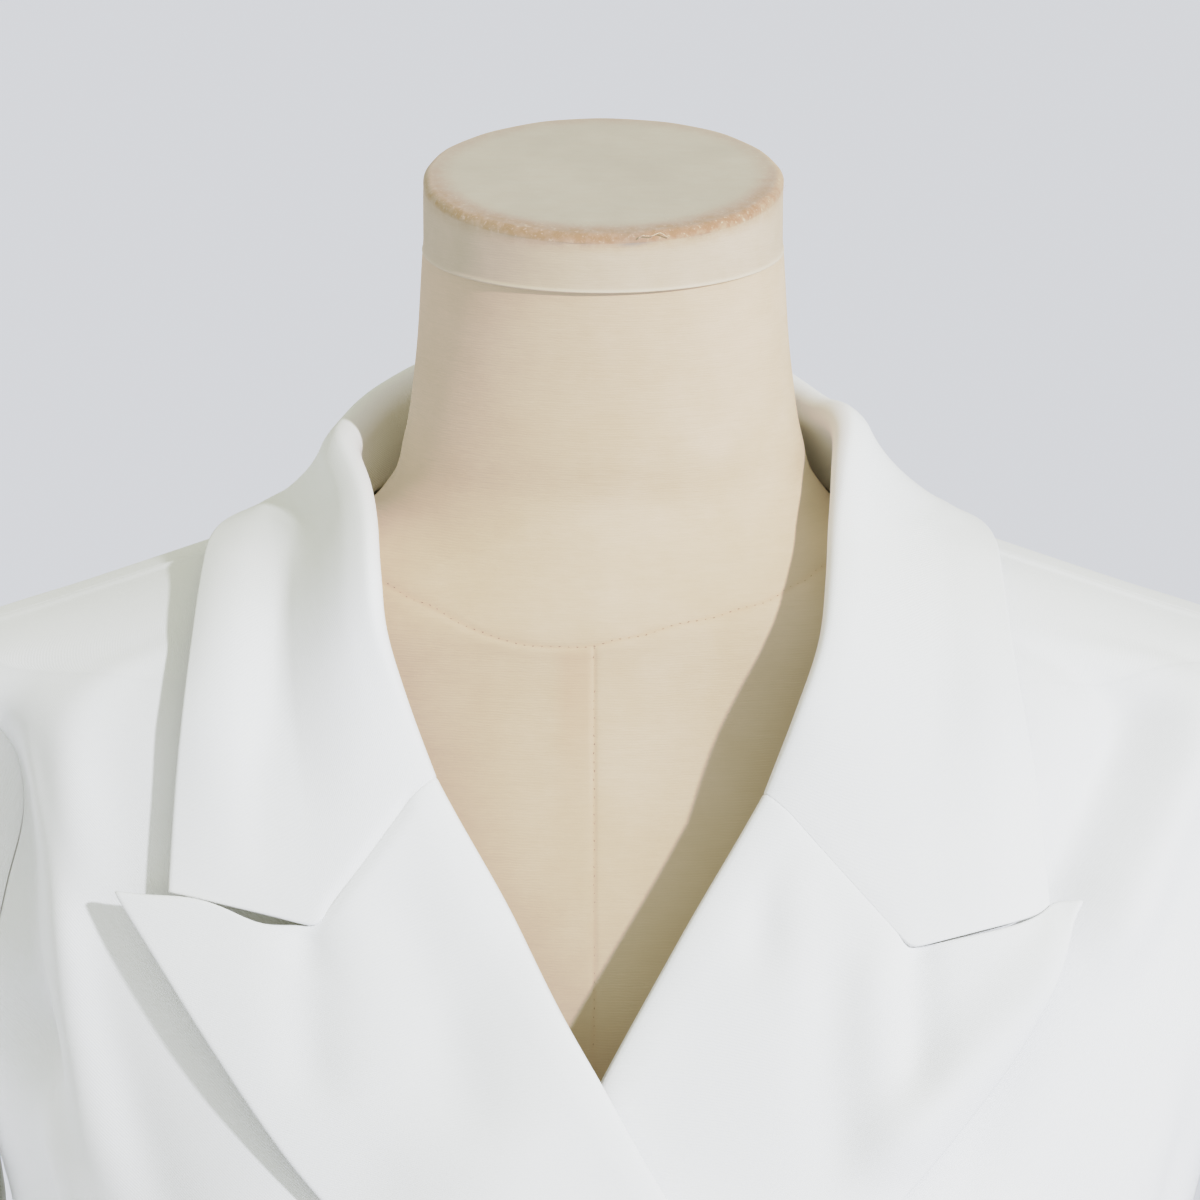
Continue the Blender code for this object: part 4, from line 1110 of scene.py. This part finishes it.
neckSeam = table(
    "turn z",
    (-180, 0.7740), (-135, 0.7710), (-90, 0.7630), (-60, 0.7560), (-37, 0.7486), (-24, 0.7419),
    (-15, 0.7356), (-7, 0.7336), (-1.6, 0.7345), (4.5, 0.7363), (12.3, 0.7398), (23.5, 0.7440),
    (39.4, 0.7519), (60, 0.7580), (90, 0.7640), (135, 0.7712), (180, 0.7740),
)

capSizes = {
    "radius": 0.0520,
    "height": 0.0219,
    "centreY": 0.004,
    "gap": 0.0003,
    "lowerSlant": 0.094,  # rise for each metre towards the back
    "topSlant": 0.200,
    "rimRound": 0.0024,
    "around": 192,
    "scuffTurn": 0.16,
    "loopTurn": 0.27,
}


def formPoint(turn, z):
    # a point of the form with its seams pressed in, and the seam band's tint
    s = formSizes
    point = ringPoint(formRings, turn, z)
    step = 2e-4
    around = ringPoint(formRings, turn + step, z) - ringPoint(formRings, turn - step, z)
    upward = ringPoint(formRings, turn, z + step) - ringPoint(formRings, turn, z - step)
    outward = unit(np.cross(around, upward))
    degrees = np.degrees((turn + math.pi) % (2 * math.pi) - math.pi)
    fromNeckSeam = z - smooth(neckSeam, "z", degrees)
    below = ease(-fromNeckSeam / 0.001)
    front = (point[..., 1] < 0) & (z < 0.76)
    fromFront = np.where(front, point[..., 0] - s["frontSeamX"], 1.0)
    fromBack = np.where(~front, point[..., 0] + s["frontSeamX"], 1.0)
    groove = bell(fromNeckSeam, s["grooveWidth"])
    groove = np.maximum(groove, below * bell(fromFront, s["grooveWidth"]))
    groove = np.maximum(groove, below * bell(fromBack, s["grooveWidth"]))
    allowance = ease((fromFront + 0.010) / 0.002) * ease(-fromFront / 0.001) * below
    allowance = allowance * np.where(front, 1.0, 0.0)
    fading = ease((z - 0.655) / 0.07)
    ridge = 0.00015 * allowance * fading + 0.00015 * bell(fromNeckSeam + 0.0022, 0.0012)
    rise = ridge - s["grooveDepth"] * groove
    tint = np.maximum(0.55 * groove, allowance * (0.05 + 0.55 * fading**3))
    tint = np.maximum(tint, 0.12 * bell(fromNeckSeam, 0.004))
    return point + outward * rise[..., None], tint


def ringFaces(rows, around, closeEnds=True):
    faces = []
    for i in range(rows - 1):
        for k in range(around):
            after = (k + 1) % around
            low = i * around
            faces.append((low + k, low + after, low + around + after, low + around + k))
    if closeEnds:
        total = rows * around
        for k in range(around):
            after = (k + 1) % around
            faces.append((total, after, k))
            faces.append((total + 1, (rows - 1) * around + k, (rows - 1) * around + after))
    return faces


def closedRings(name, rings, material, tint=None, sharpAngle=None, lowEnd=None, highEnd=None):
    rows, around = rings.shape[:2]
    ends = [rings[0].mean(axis=0) if lowEnd is None else lowEnd]
    ends.append(rings[-1].mean(axis=0) if highEnd is None else highEnd)
    points = np.concatenate([rings.reshape(-1, 3), ends])
    piece = meshPiece(name, points, ringFaces(rows, around), material, sharpAngle=sharpAngle)
    for word, values in (tint or {}).items():
        layer = piece.data.attributes.new(word, "FLOAT", "POINT")
        layer.data.foreach_set("value", np.concatenate([values.ravel(), values[[0, -1], 0]]))
    return piece


def formTorso(material):
    s = formSizes
    plain = np.arange(s["around"]) / s["around"]
    beside = np.array([0.0009, 0.0021, 0.0038])
    columns = np.unique(np.concatenate([plain, beside, 1 - beside, 0.5 + beside, 0.5 - beside]))
    lowShares = 1 - np.array([0, 0.0009, 0.0018, 0.0030, 0.0046, 0.0065])
    rows = np.linspace(0, 1, round(0.72 / s["rowStep"]))
    below = np.concatenate([rows[rows < 0.989], lowShares[::-1]])
    above = np.concatenate([[0.008, 0.017, 0.032, 0.055], np.linspace(0, 1, 36)[3:]])
    turnZ = np.interp(np.arange(len(below) + len(above)), (0, len(below), len(below) + len(above)),
                      (s["footZ"], 0.736, s["neckTopZ"]))
    start = angleAt(np.full_like(turnZ, s["frontSeamX"]), turnZ, formRings)
    turn = start[:, None] + 2 * math.pi * columns
    degrees = np.degrees((turn + math.pi) % (2 * math.pi) - math.pi)
    seamZ = smooth(neckSeam, "z", degrees)
    lower = s["footZ"] + (seamZ[: len(below)] - s["footZ"]) * below[:, None]
    topY = bodySizes["sideY"] - 0.052 * np.cos(turn[-1])
    topZ = s["neckTopZ"] + capSizes["lowerSlant"] * (topY - capSizes["centreY"])
    upper = seamZ[len(below):] + (topZ - seamZ[len(below):]) * above[:, None]
    # rings above the neck's top ring keep its size
    points, tint = formPoint(turn, np.concatenate([lower, upper]))
    piece = closedRings("formTorso", points, material, {"seamTint": tint}, sharpAngle=50)
    finishPiece(piece, "form_torso")
    return piece


def tubeMesh(path, radius, sides=8):
    # a closed round thread along a path
    path = np.array(path, float)
    along = unit(np.gradient(path, axis=0))
    across = unit(np.cross(along, np.array([0.13, 0.31, 0.94])))
    upward = np.cross(across, along)
    turn = np.linspace(0, 2 * math.pi, sides + 1)[:-1][:, None]
    rings = [p + radius * (np.cos(turn) * a + np.sin(turn) * b) for p, a, b in zip(path, across, upward)]
    points = np.concatenate([np.array(rings).reshape(-1, 3), [path[0], path[-1]]])
    return points, ringFaces(len(path), sides)


fuzzLook = {"Density": 1.1e6, "Length": 0.0012, "Radius": 0.000022, "Seed": 7}


def formCap(material, fuzzMaterial):
    s = capSizes
    turn = np.linspace(0, 2 * math.pi, s["around"] + 1)[:-1]
    radius = s["radius"]
    middle = np.linspace(0.16, 0.84, 10)
    rounding = np.radians(np.linspace(0, 90, 9))
    inner = np.array([0.985, 0.965, 0.94, 0.91, 0.87, 0.82, *np.linspace(0.75, 0.08, 9)])
    # each ring: radius, share of the side's height, height above the top plane, how worn
    outline = [(radius - 0.0010, 0.002, 0, 0), (radius + 0.0001, -0.018, 0, 0), (radius + 0.0003, -0.006, 0, 0),
               (radius + 0.0003, 0.012, 0, 0), (radius + 0.0001, 0.034, 0, 0), (radius, 0.055, 0, 0),
               (radius, 0.09, 0, 0)]
    outline += [(radius - 0.0001, share, 0, 0.60 * ease((share - 0.60) / 0.40)) for share in middle]
    for turnUp in rounding:
        down = s["rimRound"] * (math.sin(turnUp) - 1)
        outline.append((radius - s["rimRound"] * (1 - math.cos(turnUp)), 1, down, 0.7 + 0.3 * math.sin(2 * turnUp)))
    edge = radius - s["rimRound"]
    for share in inner:
        outline.append((edge * share, 1, 0.0008 * (1 - share**2), float(ease((share - 0.84) / 0.16)) * 0.8))
    rings = []
    worn = []
    scuffed = []
    top = np.array([ease((share - 0.985) / 0.015) * ease((radius - 0.0010 - size) / 0.002)
                    for size, share, _, _ in outline])[:, None] * np.ones(len(turn))
    for size, share, above, wear in outline:
        uneven = 0.00016 * np.sin(7 * turn + 3) + 0.00012 * np.sin(17 * turn + 30 * share)
        size = size + uneven * wear
        x = size * np.sin(turn)
        y = -size * np.cos(turn)
        low = formSizes["neckTopZ"] + s["gap"] + s["lowerSlant"] * y
        high = formSizes["neckTopZ"] + s["height"] + s["topSlant"] * y
        rings.append(np.stack([x, y + s["centreY"], low + (high - low) * share + above], -1))
        inFront = 0.38 + 0.62 * ease((np.cos(turn) + 0.35) / 1.0)
        worn.append(wear * inFront)
        fromScuff = (turn - s["scuffTurn"]) * radius
        scuffed.append((size > radius - 0.002) * bell(fromScuff, 0.0042) * bell((high - low) * (share - 1) + 0.0016, 0.0012))
    centre = (0, s["centreY"], formSizes["neckTopZ"] + s["height"] + 0.0008)
    seam = np.array([bell(share - 0.010, 0.03) for _, share, _, _ in outline])[:, None] * np.ones(len(turn))
    piece = closedRings("formCap", np.array(rings), material, {"wear": np.array(worn), "seamTint": seam, "top": top,
                                                             "scuff": np.array(scuffed)},
                        sharpAngle=50, highEnd=centre)
    grown("capFuzz", piece, fibreTree(), {**fuzzLook, "Material": fuzzMaterial})
    looped = np.linspace(0, 1, 25)
    across = s["loopTurn"] + (looped - 0.5) * 0.17
    out = radius + 0.0004 + 0.0005 * np.sin(math.pi * looped)
    loopZ = formSizes["neckTopZ"] + s["height"] + s["topSlant"] * -np.cos(across) * out - 0.0012
    loopZ = loopZ + 0.0011 * np.sin(math.pi * looped) + 0.0004 * np.sin(11 * looped)
    path = np.stack([out * np.sin(across), s["centreY"] - out * np.cos(across), loopZ], -1)
    loop = meshPiece("capLoop", *tubeMesh(path, 0.00016, 6), fuzzMaterial)
    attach(loop, "root")
    finishPiece(piece, "form_cap")
    return piece


def formBase(material):
    s = formSizes
    turn = np.linspace(0, 2 * math.pi, 161)[:-1]
    foot = ringPoint(formRings, turn, np.full_like(turn, s["footZ"]))
    thick = s["baseThickness"]
    outline = [(0.955, 0.0), (0.966, 0.0004), (0.975, 0.0018), (0.980, 0.004), (0.980, thick * 0.5),
               (0.980, thick - 0.0035), (0.978, thick - 0.0018), (0.970, thick - 0.0004), (0.955, thick)]
    rings = []
    for scale, z in outline:
        ring = foot * (scale, scale, 0)
        ring[:, 2] = z
        rings.append(ring)
    piece = closedRings("formBase", np.array(rings), material, sharpAngle=50)
    finishPiece(piece, "form_base")
    return piece


linenLook = {
    "light": (0.712, 0.564, 0.436, 1),
    "dark": (0.668, 0.520, 0.390, 1),
    "seam": (0.620, 0.400, 0.280, 1),
    "threadsPerMetre": 1400,
    "threadDepth": 0.00012,
}

capLook = {
    "light": (0.660, 0.545, 0.440, 1),
    "dark": (0.600, 0.490, 0.385, 1),
    "topLight": (0.545, 0.495, 0.430, 1),
    "topDark": (0.505, 0.455, 0.390, 1),
    "worn": (0.440, 0.265, 0.160, 1),
    "scuff": (0.300, 0.300, 0.300, 1),
    "seam": (0.760, 0.680, 0.560, 1),
}


def threadPattern(tree, place, perMetre):
    # crossing threads on a form: level rows, and upright rows by the way round
    stretched = addNode(tree, "ShaderNodeMapping", {0: place, 3: (0.6, 0.6, 1.0)}).outputs[0]
    rows = addNode(tree, "ShaderNodeTexWave",
                   {"Vector": stretched, "Scale": 0.314 * perMetre, "Distortion": 6.0, "Detail": 3.0,
                    "Detail Scale": 0.6, "Detail Roughness": 0.6},
                   bands_direction="Z").outputs[1]
    slubs = addNode(tree, "ShaderNodeTexNoise",
                    {"Vector": addNode(tree, "ShaderNodeMapping", {0: place, 3: (120.0, 120.0, 1100.0)}).outputs[0],
                     "Scale": 1.0, "Detail": 3.0, "Roughness": 0.55}).outputs[0]
    return rows, slubs


def linenMaterial(name, look, worn=False):
    material, tree, shader = newMaterial(name)
    shader.inputs["Sheen Weight"].default_value = 0.15
    shader.inputs["Sheen Roughness"].default_value = 0.6
    shader.inputs["Specular IOR Level"].default_value = 0.2
    shader.inputs["Roughness"].default_value = 0.9
    place = addNode(tree, "ShaderNodeTexCoord").outputs["Object"]
    rows, slubs = threadPattern(tree, place, linenLook["threadsPerMetre"])
    light, dark = look["light"], look["dark"]
    mottle = addNode(tree, "ShaderNodeTexNoise", {"Vector": place, "Scale": 38.0, "Detail": 5.0,
                                                  "Roughness": 0.62}).outputs[0]
    if worn:
        top = addNode(tree, "ShaderNodeAttribute", attribute_name="top").outputs["Fac"]
        light, dark = (mixColours(tree, top, look[word], look["top" + word.title()]) for word in ("light", "dark"))
    colour = mixColours(tree, mapRange(tree, mottle, 0.35, 0.65, 0.0, 1.0), light, dark)
    thread = mapRange(tree, mathNode(tree, "ADD", mathNode(tree, "MULTIPLY", rows, 0.15), slubs), 0.30, 0.85, 0.0, 0.20)
    colour = mixColours(tree, thread, colour, tuple(0.8 * c for c in look["dark"][:3]) + (1,))
    seamTint = addNode(tree, "ShaderNodeAttribute", attribute_name="seamTint").outputs["Fac"]
    colour = mixColours(tree, mathNode(tree, "MULTIPLY", seamTint, 0.5), colour, look["seam"])
    if worn:
        wear = addNode(tree, "ShaderNodeAttribute", attribute_name="wear").outputs["Fac"]
        patch = addNode(tree, "ShaderNodeTexNoise", {"Vector": place, "Scale": 260.0, "Detail": 4.0,
                                                     "Roughness": 0.7}).outputs[0]
        broken = mathNode(tree, "MULTIPLY", wear, mapRange(tree, patch, 0.32, 0.62, 0.45, 1.0))
        colour = mixColours(tree, mapRange(tree, broken, 0.0, 0.85, 0.0, 1.0), colour, look["worn"])
        specks = addNode(tree, "ShaderNodeTexNoise", {"Vector": place, "Scale": 900.0, "Detail": 2.0}).outputs[0]
        bright = mathNode(tree, "MULTIPLY", mapRange(tree, specks, 0.60, 0.72, 0.0, 0.5), wear)
        colour = mixColours(tree, bright, colour, look["seam"])
        scuff = addNode(tree, "ShaderNodeAttribute", attribute_name="scuff").outputs["Fac"]
        colour = mixColours(tree, scuff, colour, look["scuff"])
    tree.links.new(colour, shader.inputs["Base Color"])
    height = mathNode(tree, "ADD", mathNode(tree, "MULTIPLY", rows, 0.20), slubs)
    bump = addNode(tree, "ShaderNodeBump", {"Strength": 0.6, "Distance": linenLook["threadDepth"], "Height": height})
    tree.links.new(bump.outputs[0], shader.inputs["Normal"])
    return material


boardLook = {"light": (0.52, 0.40, 0.27, 1), "dark": (0.40, 0.29, 0.18, 1)}


def boardMaterial():
    material, tree, shader = newMaterial("waxedBoard")
    place = addNode(tree, "ShaderNodeTexCoord").outputs["Object"]
    stretched = addNode(tree, "ShaderNodeMapping", {0: place, 3: (6.0, 90.0, 90.0)}).outputs[0]
    grain = addNode(tree, "ShaderNodeTexNoise", {"Vector": stretched, "Scale": 1.0, "Detail": 6.0,
                                                 "Roughness": 0.6, "Distortion": 0.4}).outputs[0]
    colour = mixColours(tree, mapRange(tree, grain, 0.35, 0.65, 0.0, 1.0), boardLook["light"], boardLook["dark"])
    tree.links.new(colour, shader.inputs["Base Color"])
    tree.links.new(mapRange(tree, grain, 0.3, 0.7, 0.42, 0.58), shader.inputs["Roughness"])
    bump = addNode(tree, "ShaderNodeBump", {"Strength": 0.4, "Distance": 0.0003, "Height": grain})
    tree.links.new(bump.outputs[0], shader.inputs["Normal"])
    return material


threadLook = {"colour": (0.80, 0.80, 0.79, 1), "shade": (0.66, 0.66, 0.65, 1)}


def threadMaterial(name, look):
    material, tree, shader = newMaterial(name)
    place = addNode(tree, "ShaderNodeTexCoord").outputs["Object"]
    strands = addNode(tree, "ShaderNodeTexNoise", {"Vector": place, "Scale": 2600.0, "Detail": 2.0}).outputs[0]
    colour = mixColours(tree, mapRange(tree, strands, 0.35, 0.65, 0.0, 1.0), look["colour"], look["shade"])
    tree.links.new(colour, shader.inputs["Base Color"])
    shader.inputs["Roughness"].default_value = 0.7
    bump = addNode(tree, "ShaderNodeBump", {"Strength": 0.5, "Distance": 0.0001, "Height": strands})
    tree.links.new(bump.outputs[0], shader.inputs["Normal"])
    return material


fuzzColours = {"colour": (0.72, 0.60, 0.48, 1), "shade": (0.50, 0.36, 0.26, 1)}
seamThreadColours = {"colour": (0.42, 0.27, 0.19, 1), "shade": (0.26, 0.17, 0.12, 1)}


def formStitches(material):
    # needle holes and thread along the neck seam and down the centre front
    turn = np.radians(np.linspace(-180, 180, 721))
    z = smooth(neckSeam, "z", np.degrees(turn)) + 0.0003 * np.sin(37 * turn)
    down = np.linspace(0.7335, 0.30, 220)
    middle = angleAt(formSizes["frontSeamX"] + 0.0002 * np.sin(900 * down), down, formRings)
    lines = []
    for turns, heights in ((turn, z), (middle, down)):
        points, _ = formPoint(turns, heights)
        beside, _ = formPoint(turns + 1e-3, heights)
        above, _ = formPoint(turns, heights + 1e-4)
        lines.append((points, unit(np.cross(beside - points, above - points))))
    stitched("formStitches", lines, formStitchLook, material)


formStitchLook = {"Spacing": 0.0025, "Length": 0.0007, "Radius": 0.00011, "Across": 0.0, "Uneven": 0.5, "Seed": 3}

linen = linenMaterial("linen", linenLook)
formTorso(linen)
formCap(linenMaterial("capLinen", capLook, worn=True), threadMaterial("capFuzz", fuzzColours))
formBase(boardMaterial())
formStitches(threadMaterial("seamThread", seamThreadColours))
print("dress form made")

# ---- buttons

buttonSizes = {
    "radius": 0.0125,
    "thickness": 0.004,
    "gap": 0.0006,
    "x": 0.058,
    "rows": (0.450, 0.362, 0.274),
    "around": 72,
    "holeRadius": 0.0010,
    "holeSpread": 0.0022,
    "threadRadius": 0.00045,
}


def turnedMesh(name, outline, around):
    turn = np.linspace(0, 2 * math.pi, around + 1)[:-1]
    rings = [np.stack([r * np.cos(turn), r * np.sin(turn), np.full_like(turn, h)], -1) for r, h in outline]
    rows = len(rings)
    points = np.concatenate([np.array(rings).reshape(-1, 3), [(0, 0, outline[0][1]), (0, 0, outline[-1][1])]])
    mesh = bpy.data.meshes.new(name)
    mesh.from_pydata(points.tolist(), [], ringFaces(rows, around))
    return mesh


def buttonMesh():
    s = buttonSizes
    r, t = s["radius"], s["thickness"]
    outline = [(r * 0.84, 0), (r * 0.90, t * 0.05), (r * 0.965, t * 0.22), (r, t * 0.45), (r * 0.995, t * 0.66),
               (r * 0.975, t * 0.84), (r * 0.945, t * 0.95), (r * 0.905, t), (r * 0.86, t * 0.985),
               (r * 0.82, t * 0.93), (r * 0.77, t * 0.83), (r * 0.72, t * 0.76), (r * 0.60, t * 0.725),
               (r * 0.35, t * 0.72)]
    blank = bpy.data.objects.new("buttonBlank", turnedMesh("buttonBlank", outline, s["around"]))
    bpy.context.scene.collection.objects.link(blank)
    cutters = []
    for a in (-1, 1):
        for b in (-1, 1):
            hole = turnedMesh("hole", [(s["holeRadius"], -0.001), (s["holeRadius"], t * 0.60),
                                       (s["holeRadius"] * 1.35, t * 0.80), (s["holeRadius"] * 1.35, t * 1.5)], 20)
            cutter = bpy.data.objects.new("hole", hole)
            cutter.location = (a * s["holeSpread"], b * s["holeSpread"], 0)
            bpy.context.scene.collection.objects.link(cutter)
            cut = blank.modifiers.new("hole", "BOOLEAN")
            cut.object = cutter
            cut.solver = "EXACT"
            cutters.append(cutter)
    bpy.context.view_layer.update()
    graph = bpy.context.evaluated_depsgraph_get()
    mesh = bpy.data.meshes.new_from_object(blank.evaluated_get(graph))
    mesh.shade_smooth()
    mesh.set_sharp_from_angle(angle=math.radians(38))
    for helper in (blank, *cutters):
        bpy.data.objects.remove(helper)
    return mesh


def seatOf(x, height):
    # where a button lies flat on the highest cloth under it, and which way it faces
    turn = np.radians(np.arange(0, 360, 30))
    reach = buttonSizes["radius"] * np.array([0, *np.ones(12)])
    xs = x + reach * np.array([0, *np.cos(turn)])
    zs = height + reach * np.array([0, *np.sin(turn)])
    points, outward = clothPoint(-1, angleAt(xs, zs), zs)
    facing = outward[0]
    rise = np.max((points - points[0]) @ facing)
    seat = points[0] + facing * (rise + bodySizes["wall"] / 2 + buttonSizes["gap"])
    return Vector(seat * (-1, 1, 1)), Vector(facing * (-1, 1, 1))


def buttons(buttonMaterial, threadMaterial):
    s = buttonSizes
    base = buttonMesh()
    base.materials.clear()
    base.materials.append(buttonMaterial)
    top = s["thickness"] * 0.76
    number = 0
    for height in s["rows"]:
        for x in (-s["x"], s["x"]):
            number += 1
            seat, facing = seatOf(x, height)
            place = Matrix.Translation(seat) @ facing.to_track_quat("Z", "Y").to_matrix().to_4x4()
            mesh = base.copy()
            mesh.transform(place)
            piece = bpy.data.objects.new(f"button{number}", mesh)
            bpy.context.scene.collection.objects.link(piece)
            finishPiece(piece, f"button_{number}")
            points, faces = [], []
            for b in (-1, 1):
                for strand in (-0.55, 0.0, 0.55):
                    side = b * s["holeSpread"] + strand * s["threadRadius"] * 1.6
                    t = np.linspace(-1, 1, 13)
                    lift = top + 0.0009 * (1 - t**4) - 0.0022 * (np.abs(t) > 0.99)
                    path = np.stack([t * s["holeSpread"] * 0.95, np.full_like(t, side), lift], -1)
                    tube, tubeFaces = tubeMesh(path, s["threadRadius"] * 0.75)
                    offset = sum(len(p) for p in points)
                    points.append(tube)
                    faces += [tuple(offset + k for k in face) for face in tubeFaces]
            thread = meshPiece(f"buttonThread{number}", np.concatenate(points), faces, threadMaterial)
            thread.data.transform(place)
            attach(thread, "root")


buttonLook = {"light": (0.86, 0.855, 0.84, 1), "dark": (0.80, 0.795, 0.775, 1)}


def buttonMaterial():
    material, tree, shader = newMaterial("whiteButton")
    place = addNode(tree, "ShaderNodeTexCoord").outputs["Object"]
    swirl = addNode(tree, "ShaderNodeTexNoise", {"Vector": place, "Scale": 120.0, "Detail": 4.0,
                                                 "Roughness": 0.5, "Distortion": 1.5}).outputs[0]
    colour = mixColours(tree, mapRange(tree, swirl, 0.35, 0.65, 0.0, 1.0), buttonLook["light"], buttonLook["dark"])
    tree.links.new(colour, shader.inputs["Base Color"])
    tree.links.new(mapRange(tree, swirl, 0.3, 0.7, 0.16, 0.30), shader.inputs["Roughness"])
    shader.inputs["Coat Weight"].default_value = 0.3
    shader.inputs["Coat Roughness"].default_value = 0.1
    return material


buttonholeLook = {"Spacing": 0.00042, "Length": 0.0019, "Radius": 0.00024, "Across": 1.0, "Uneven": 0.06, "Seed": 5}
buttonholeSizes = {"length": 0.0225, "halfWidth": 0.0011, "eye": 0.0017}


def buttonholes(material):
    # worked buttonholes in the upper front: from each button toward the centre
    s = buttonholeSizes
    t = np.linspace(0, 2 * math.pi, 241)
    along = -s["length"] * (1 - np.cos(t)) / 2 + 0.0030
    half = s["halfWidth"] + s["eye"] * bell(along - 0.0005, 0.0022) * 0.6
    aside = half * np.sign(np.sin(t)) * np.abs(np.sin(t)) ** 0.35
    lines = []
    for height in buttonSizes["rows"]:
        x, z = -(buttonSizes["x"] + along), height + aside
        points, outward = clothPoint(-1, angleAt(x, z), z, bodySizes["wall"] / 2 + 0.00008)
        lines.append((points * (-1, 1, 1), outward * (-1, 1, 1)))
    stitched("buttonholes", lines, buttonholeLook, material)


whiteThread = threadMaterial("whiteThread", threadLook)
buttons(buttonMaterial(), whiteThread)
buttonholes(whiteThread)
print("buttons made")

# ---- stage, lights and camera

floorLook = {"colour": (0.800, 0.810, 0.925, 1), "halfSide": 30.0}


def floorPiece():
    material, tree, shader = newMaterial("paleFloor")
    shader.inputs["Roughness"].default_value = 0.9
    shader.inputs["Base Color"].default_value = floorLook["colour"]
    r = floorLook["halfSide"]
    floor = meshPiece("floor", [(-r, -r, 0), (r, -r, 0), (r, r, 0), (-r, r, 0)], [(0, 1, 2, 3)], material)


lightLook = {
    "keyTurn": 40,  # degrees to the right of the camera
    "keyHeight": 24,  # degrees above level
    "keySpread": 2.6,  # degrees
    "keyStrength": 2.45,
    "keyColour": (0.955, 0.98, 1.045),
    "roomStrength": 0.70,
    "roomColour": (0.975, 0.99, 0.870, 1),
    "roomFromAbove": 0.85,  # share of the room's light that comes from overhead
}


def keyLight():
    turn, lift = math.radians(lightLook["keyTurn"]), math.radians(lightLook["keyHeight"])
    source = Vector((math.sin(turn) * math.cos(lift), -math.cos(turn) * math.cos(lift), math.sin(lift)))
    data = bpy.data.lights.new("key", "SUN")
    data.angle = math.radians(lightLook["keySpread"])
    data.energy = lightLook["keyStrength"]
    data.color = lightLook["keyColour"]
    light = bpy.data.objects.new("key", data)
    light.rotation_euler = source.to_track_quat("Z", "Y").to_euler()
    bpy.context.scene.collection.objects.link(light)


def camera():
    aim = Vector((-0.0009, 0, 0.73695))
    lift = math.radians(12)
    data = bpy.data.cameras.new("closeUp")
    data.sensor_width = 36
    data.lens = 162.24
    shown = bpy.data.objects.new("closeUp", data)
    shown.location = aim + 1.581 * Vector((0, -math.cos(lift), math.sin(lift)))
    shown.rotation_euler = (math.radians(90) - lift, 0, 0)
    bpy.context.scene.collection.objects.link(shown)
    bpy.context.scene.camera = shown


def roomLight():
    world = bpy.data.worlds.new("studio")
    world.use_nodes = True
    world.node_tree.nodes["Background"].inputs[0].default_value = lightLook["roomColour"]
    tree = world.node_tree
    height = addNode(tree, "ShaderNodeSeparateXYZ", {0: addNode(tree, "ShaderNodeTexCoord").outputs["Generated"]})
    level = lightLook["roomStrength"]
    strength = mapRange(tree, height.outputs[2], 0.0, 1.0, level, level * lightLook["roomFromAbove"])
    tree.links.new(strength, tree.nodes["Background"].inputs[1])
    bpy.context.scene.world = world


# light in the scene and its level in the picture: whites roll off softly
toneCurve = ((0.0, 0.0), (0.10, 0.150), (0.20, 0.275), (0.33, 0.385), (0.43, 0.455), (0.53, 0.538), (0.62, 0.602),
             (0.76, 0.675), (0.95, 0.743), (1.14, 0.797), (1.35, 0.838), (1.6, 0.87))

blueCurve = ((0.10, 0.078), (0.25, 0.222), (0.45, 0.442))


def pictureTone():
    view = bpy.context.scene.view_settings
    view.view_transform = "Standard"
    view.use_curve_mapping = True
    mapping = view.curve_mapping
    brightest = toneCurve[-1][0]
    mapping.white_level = (brightest,) * 3
    points = mapping.curves[3].points
    points[1].location = (1.0, toneCurve[-1][1])
    for light, level in toneCurve[1:-1]:
        points.new(light / brightest, level)
    for light, level in blueCurve:
        mapping.curves[2].points.new(light / brightest, level / brightest)
    mapping.update()


floorPiece()
camera()
keyLight()
roomLight()
pictureTone()
print("stage, lights and camera made")
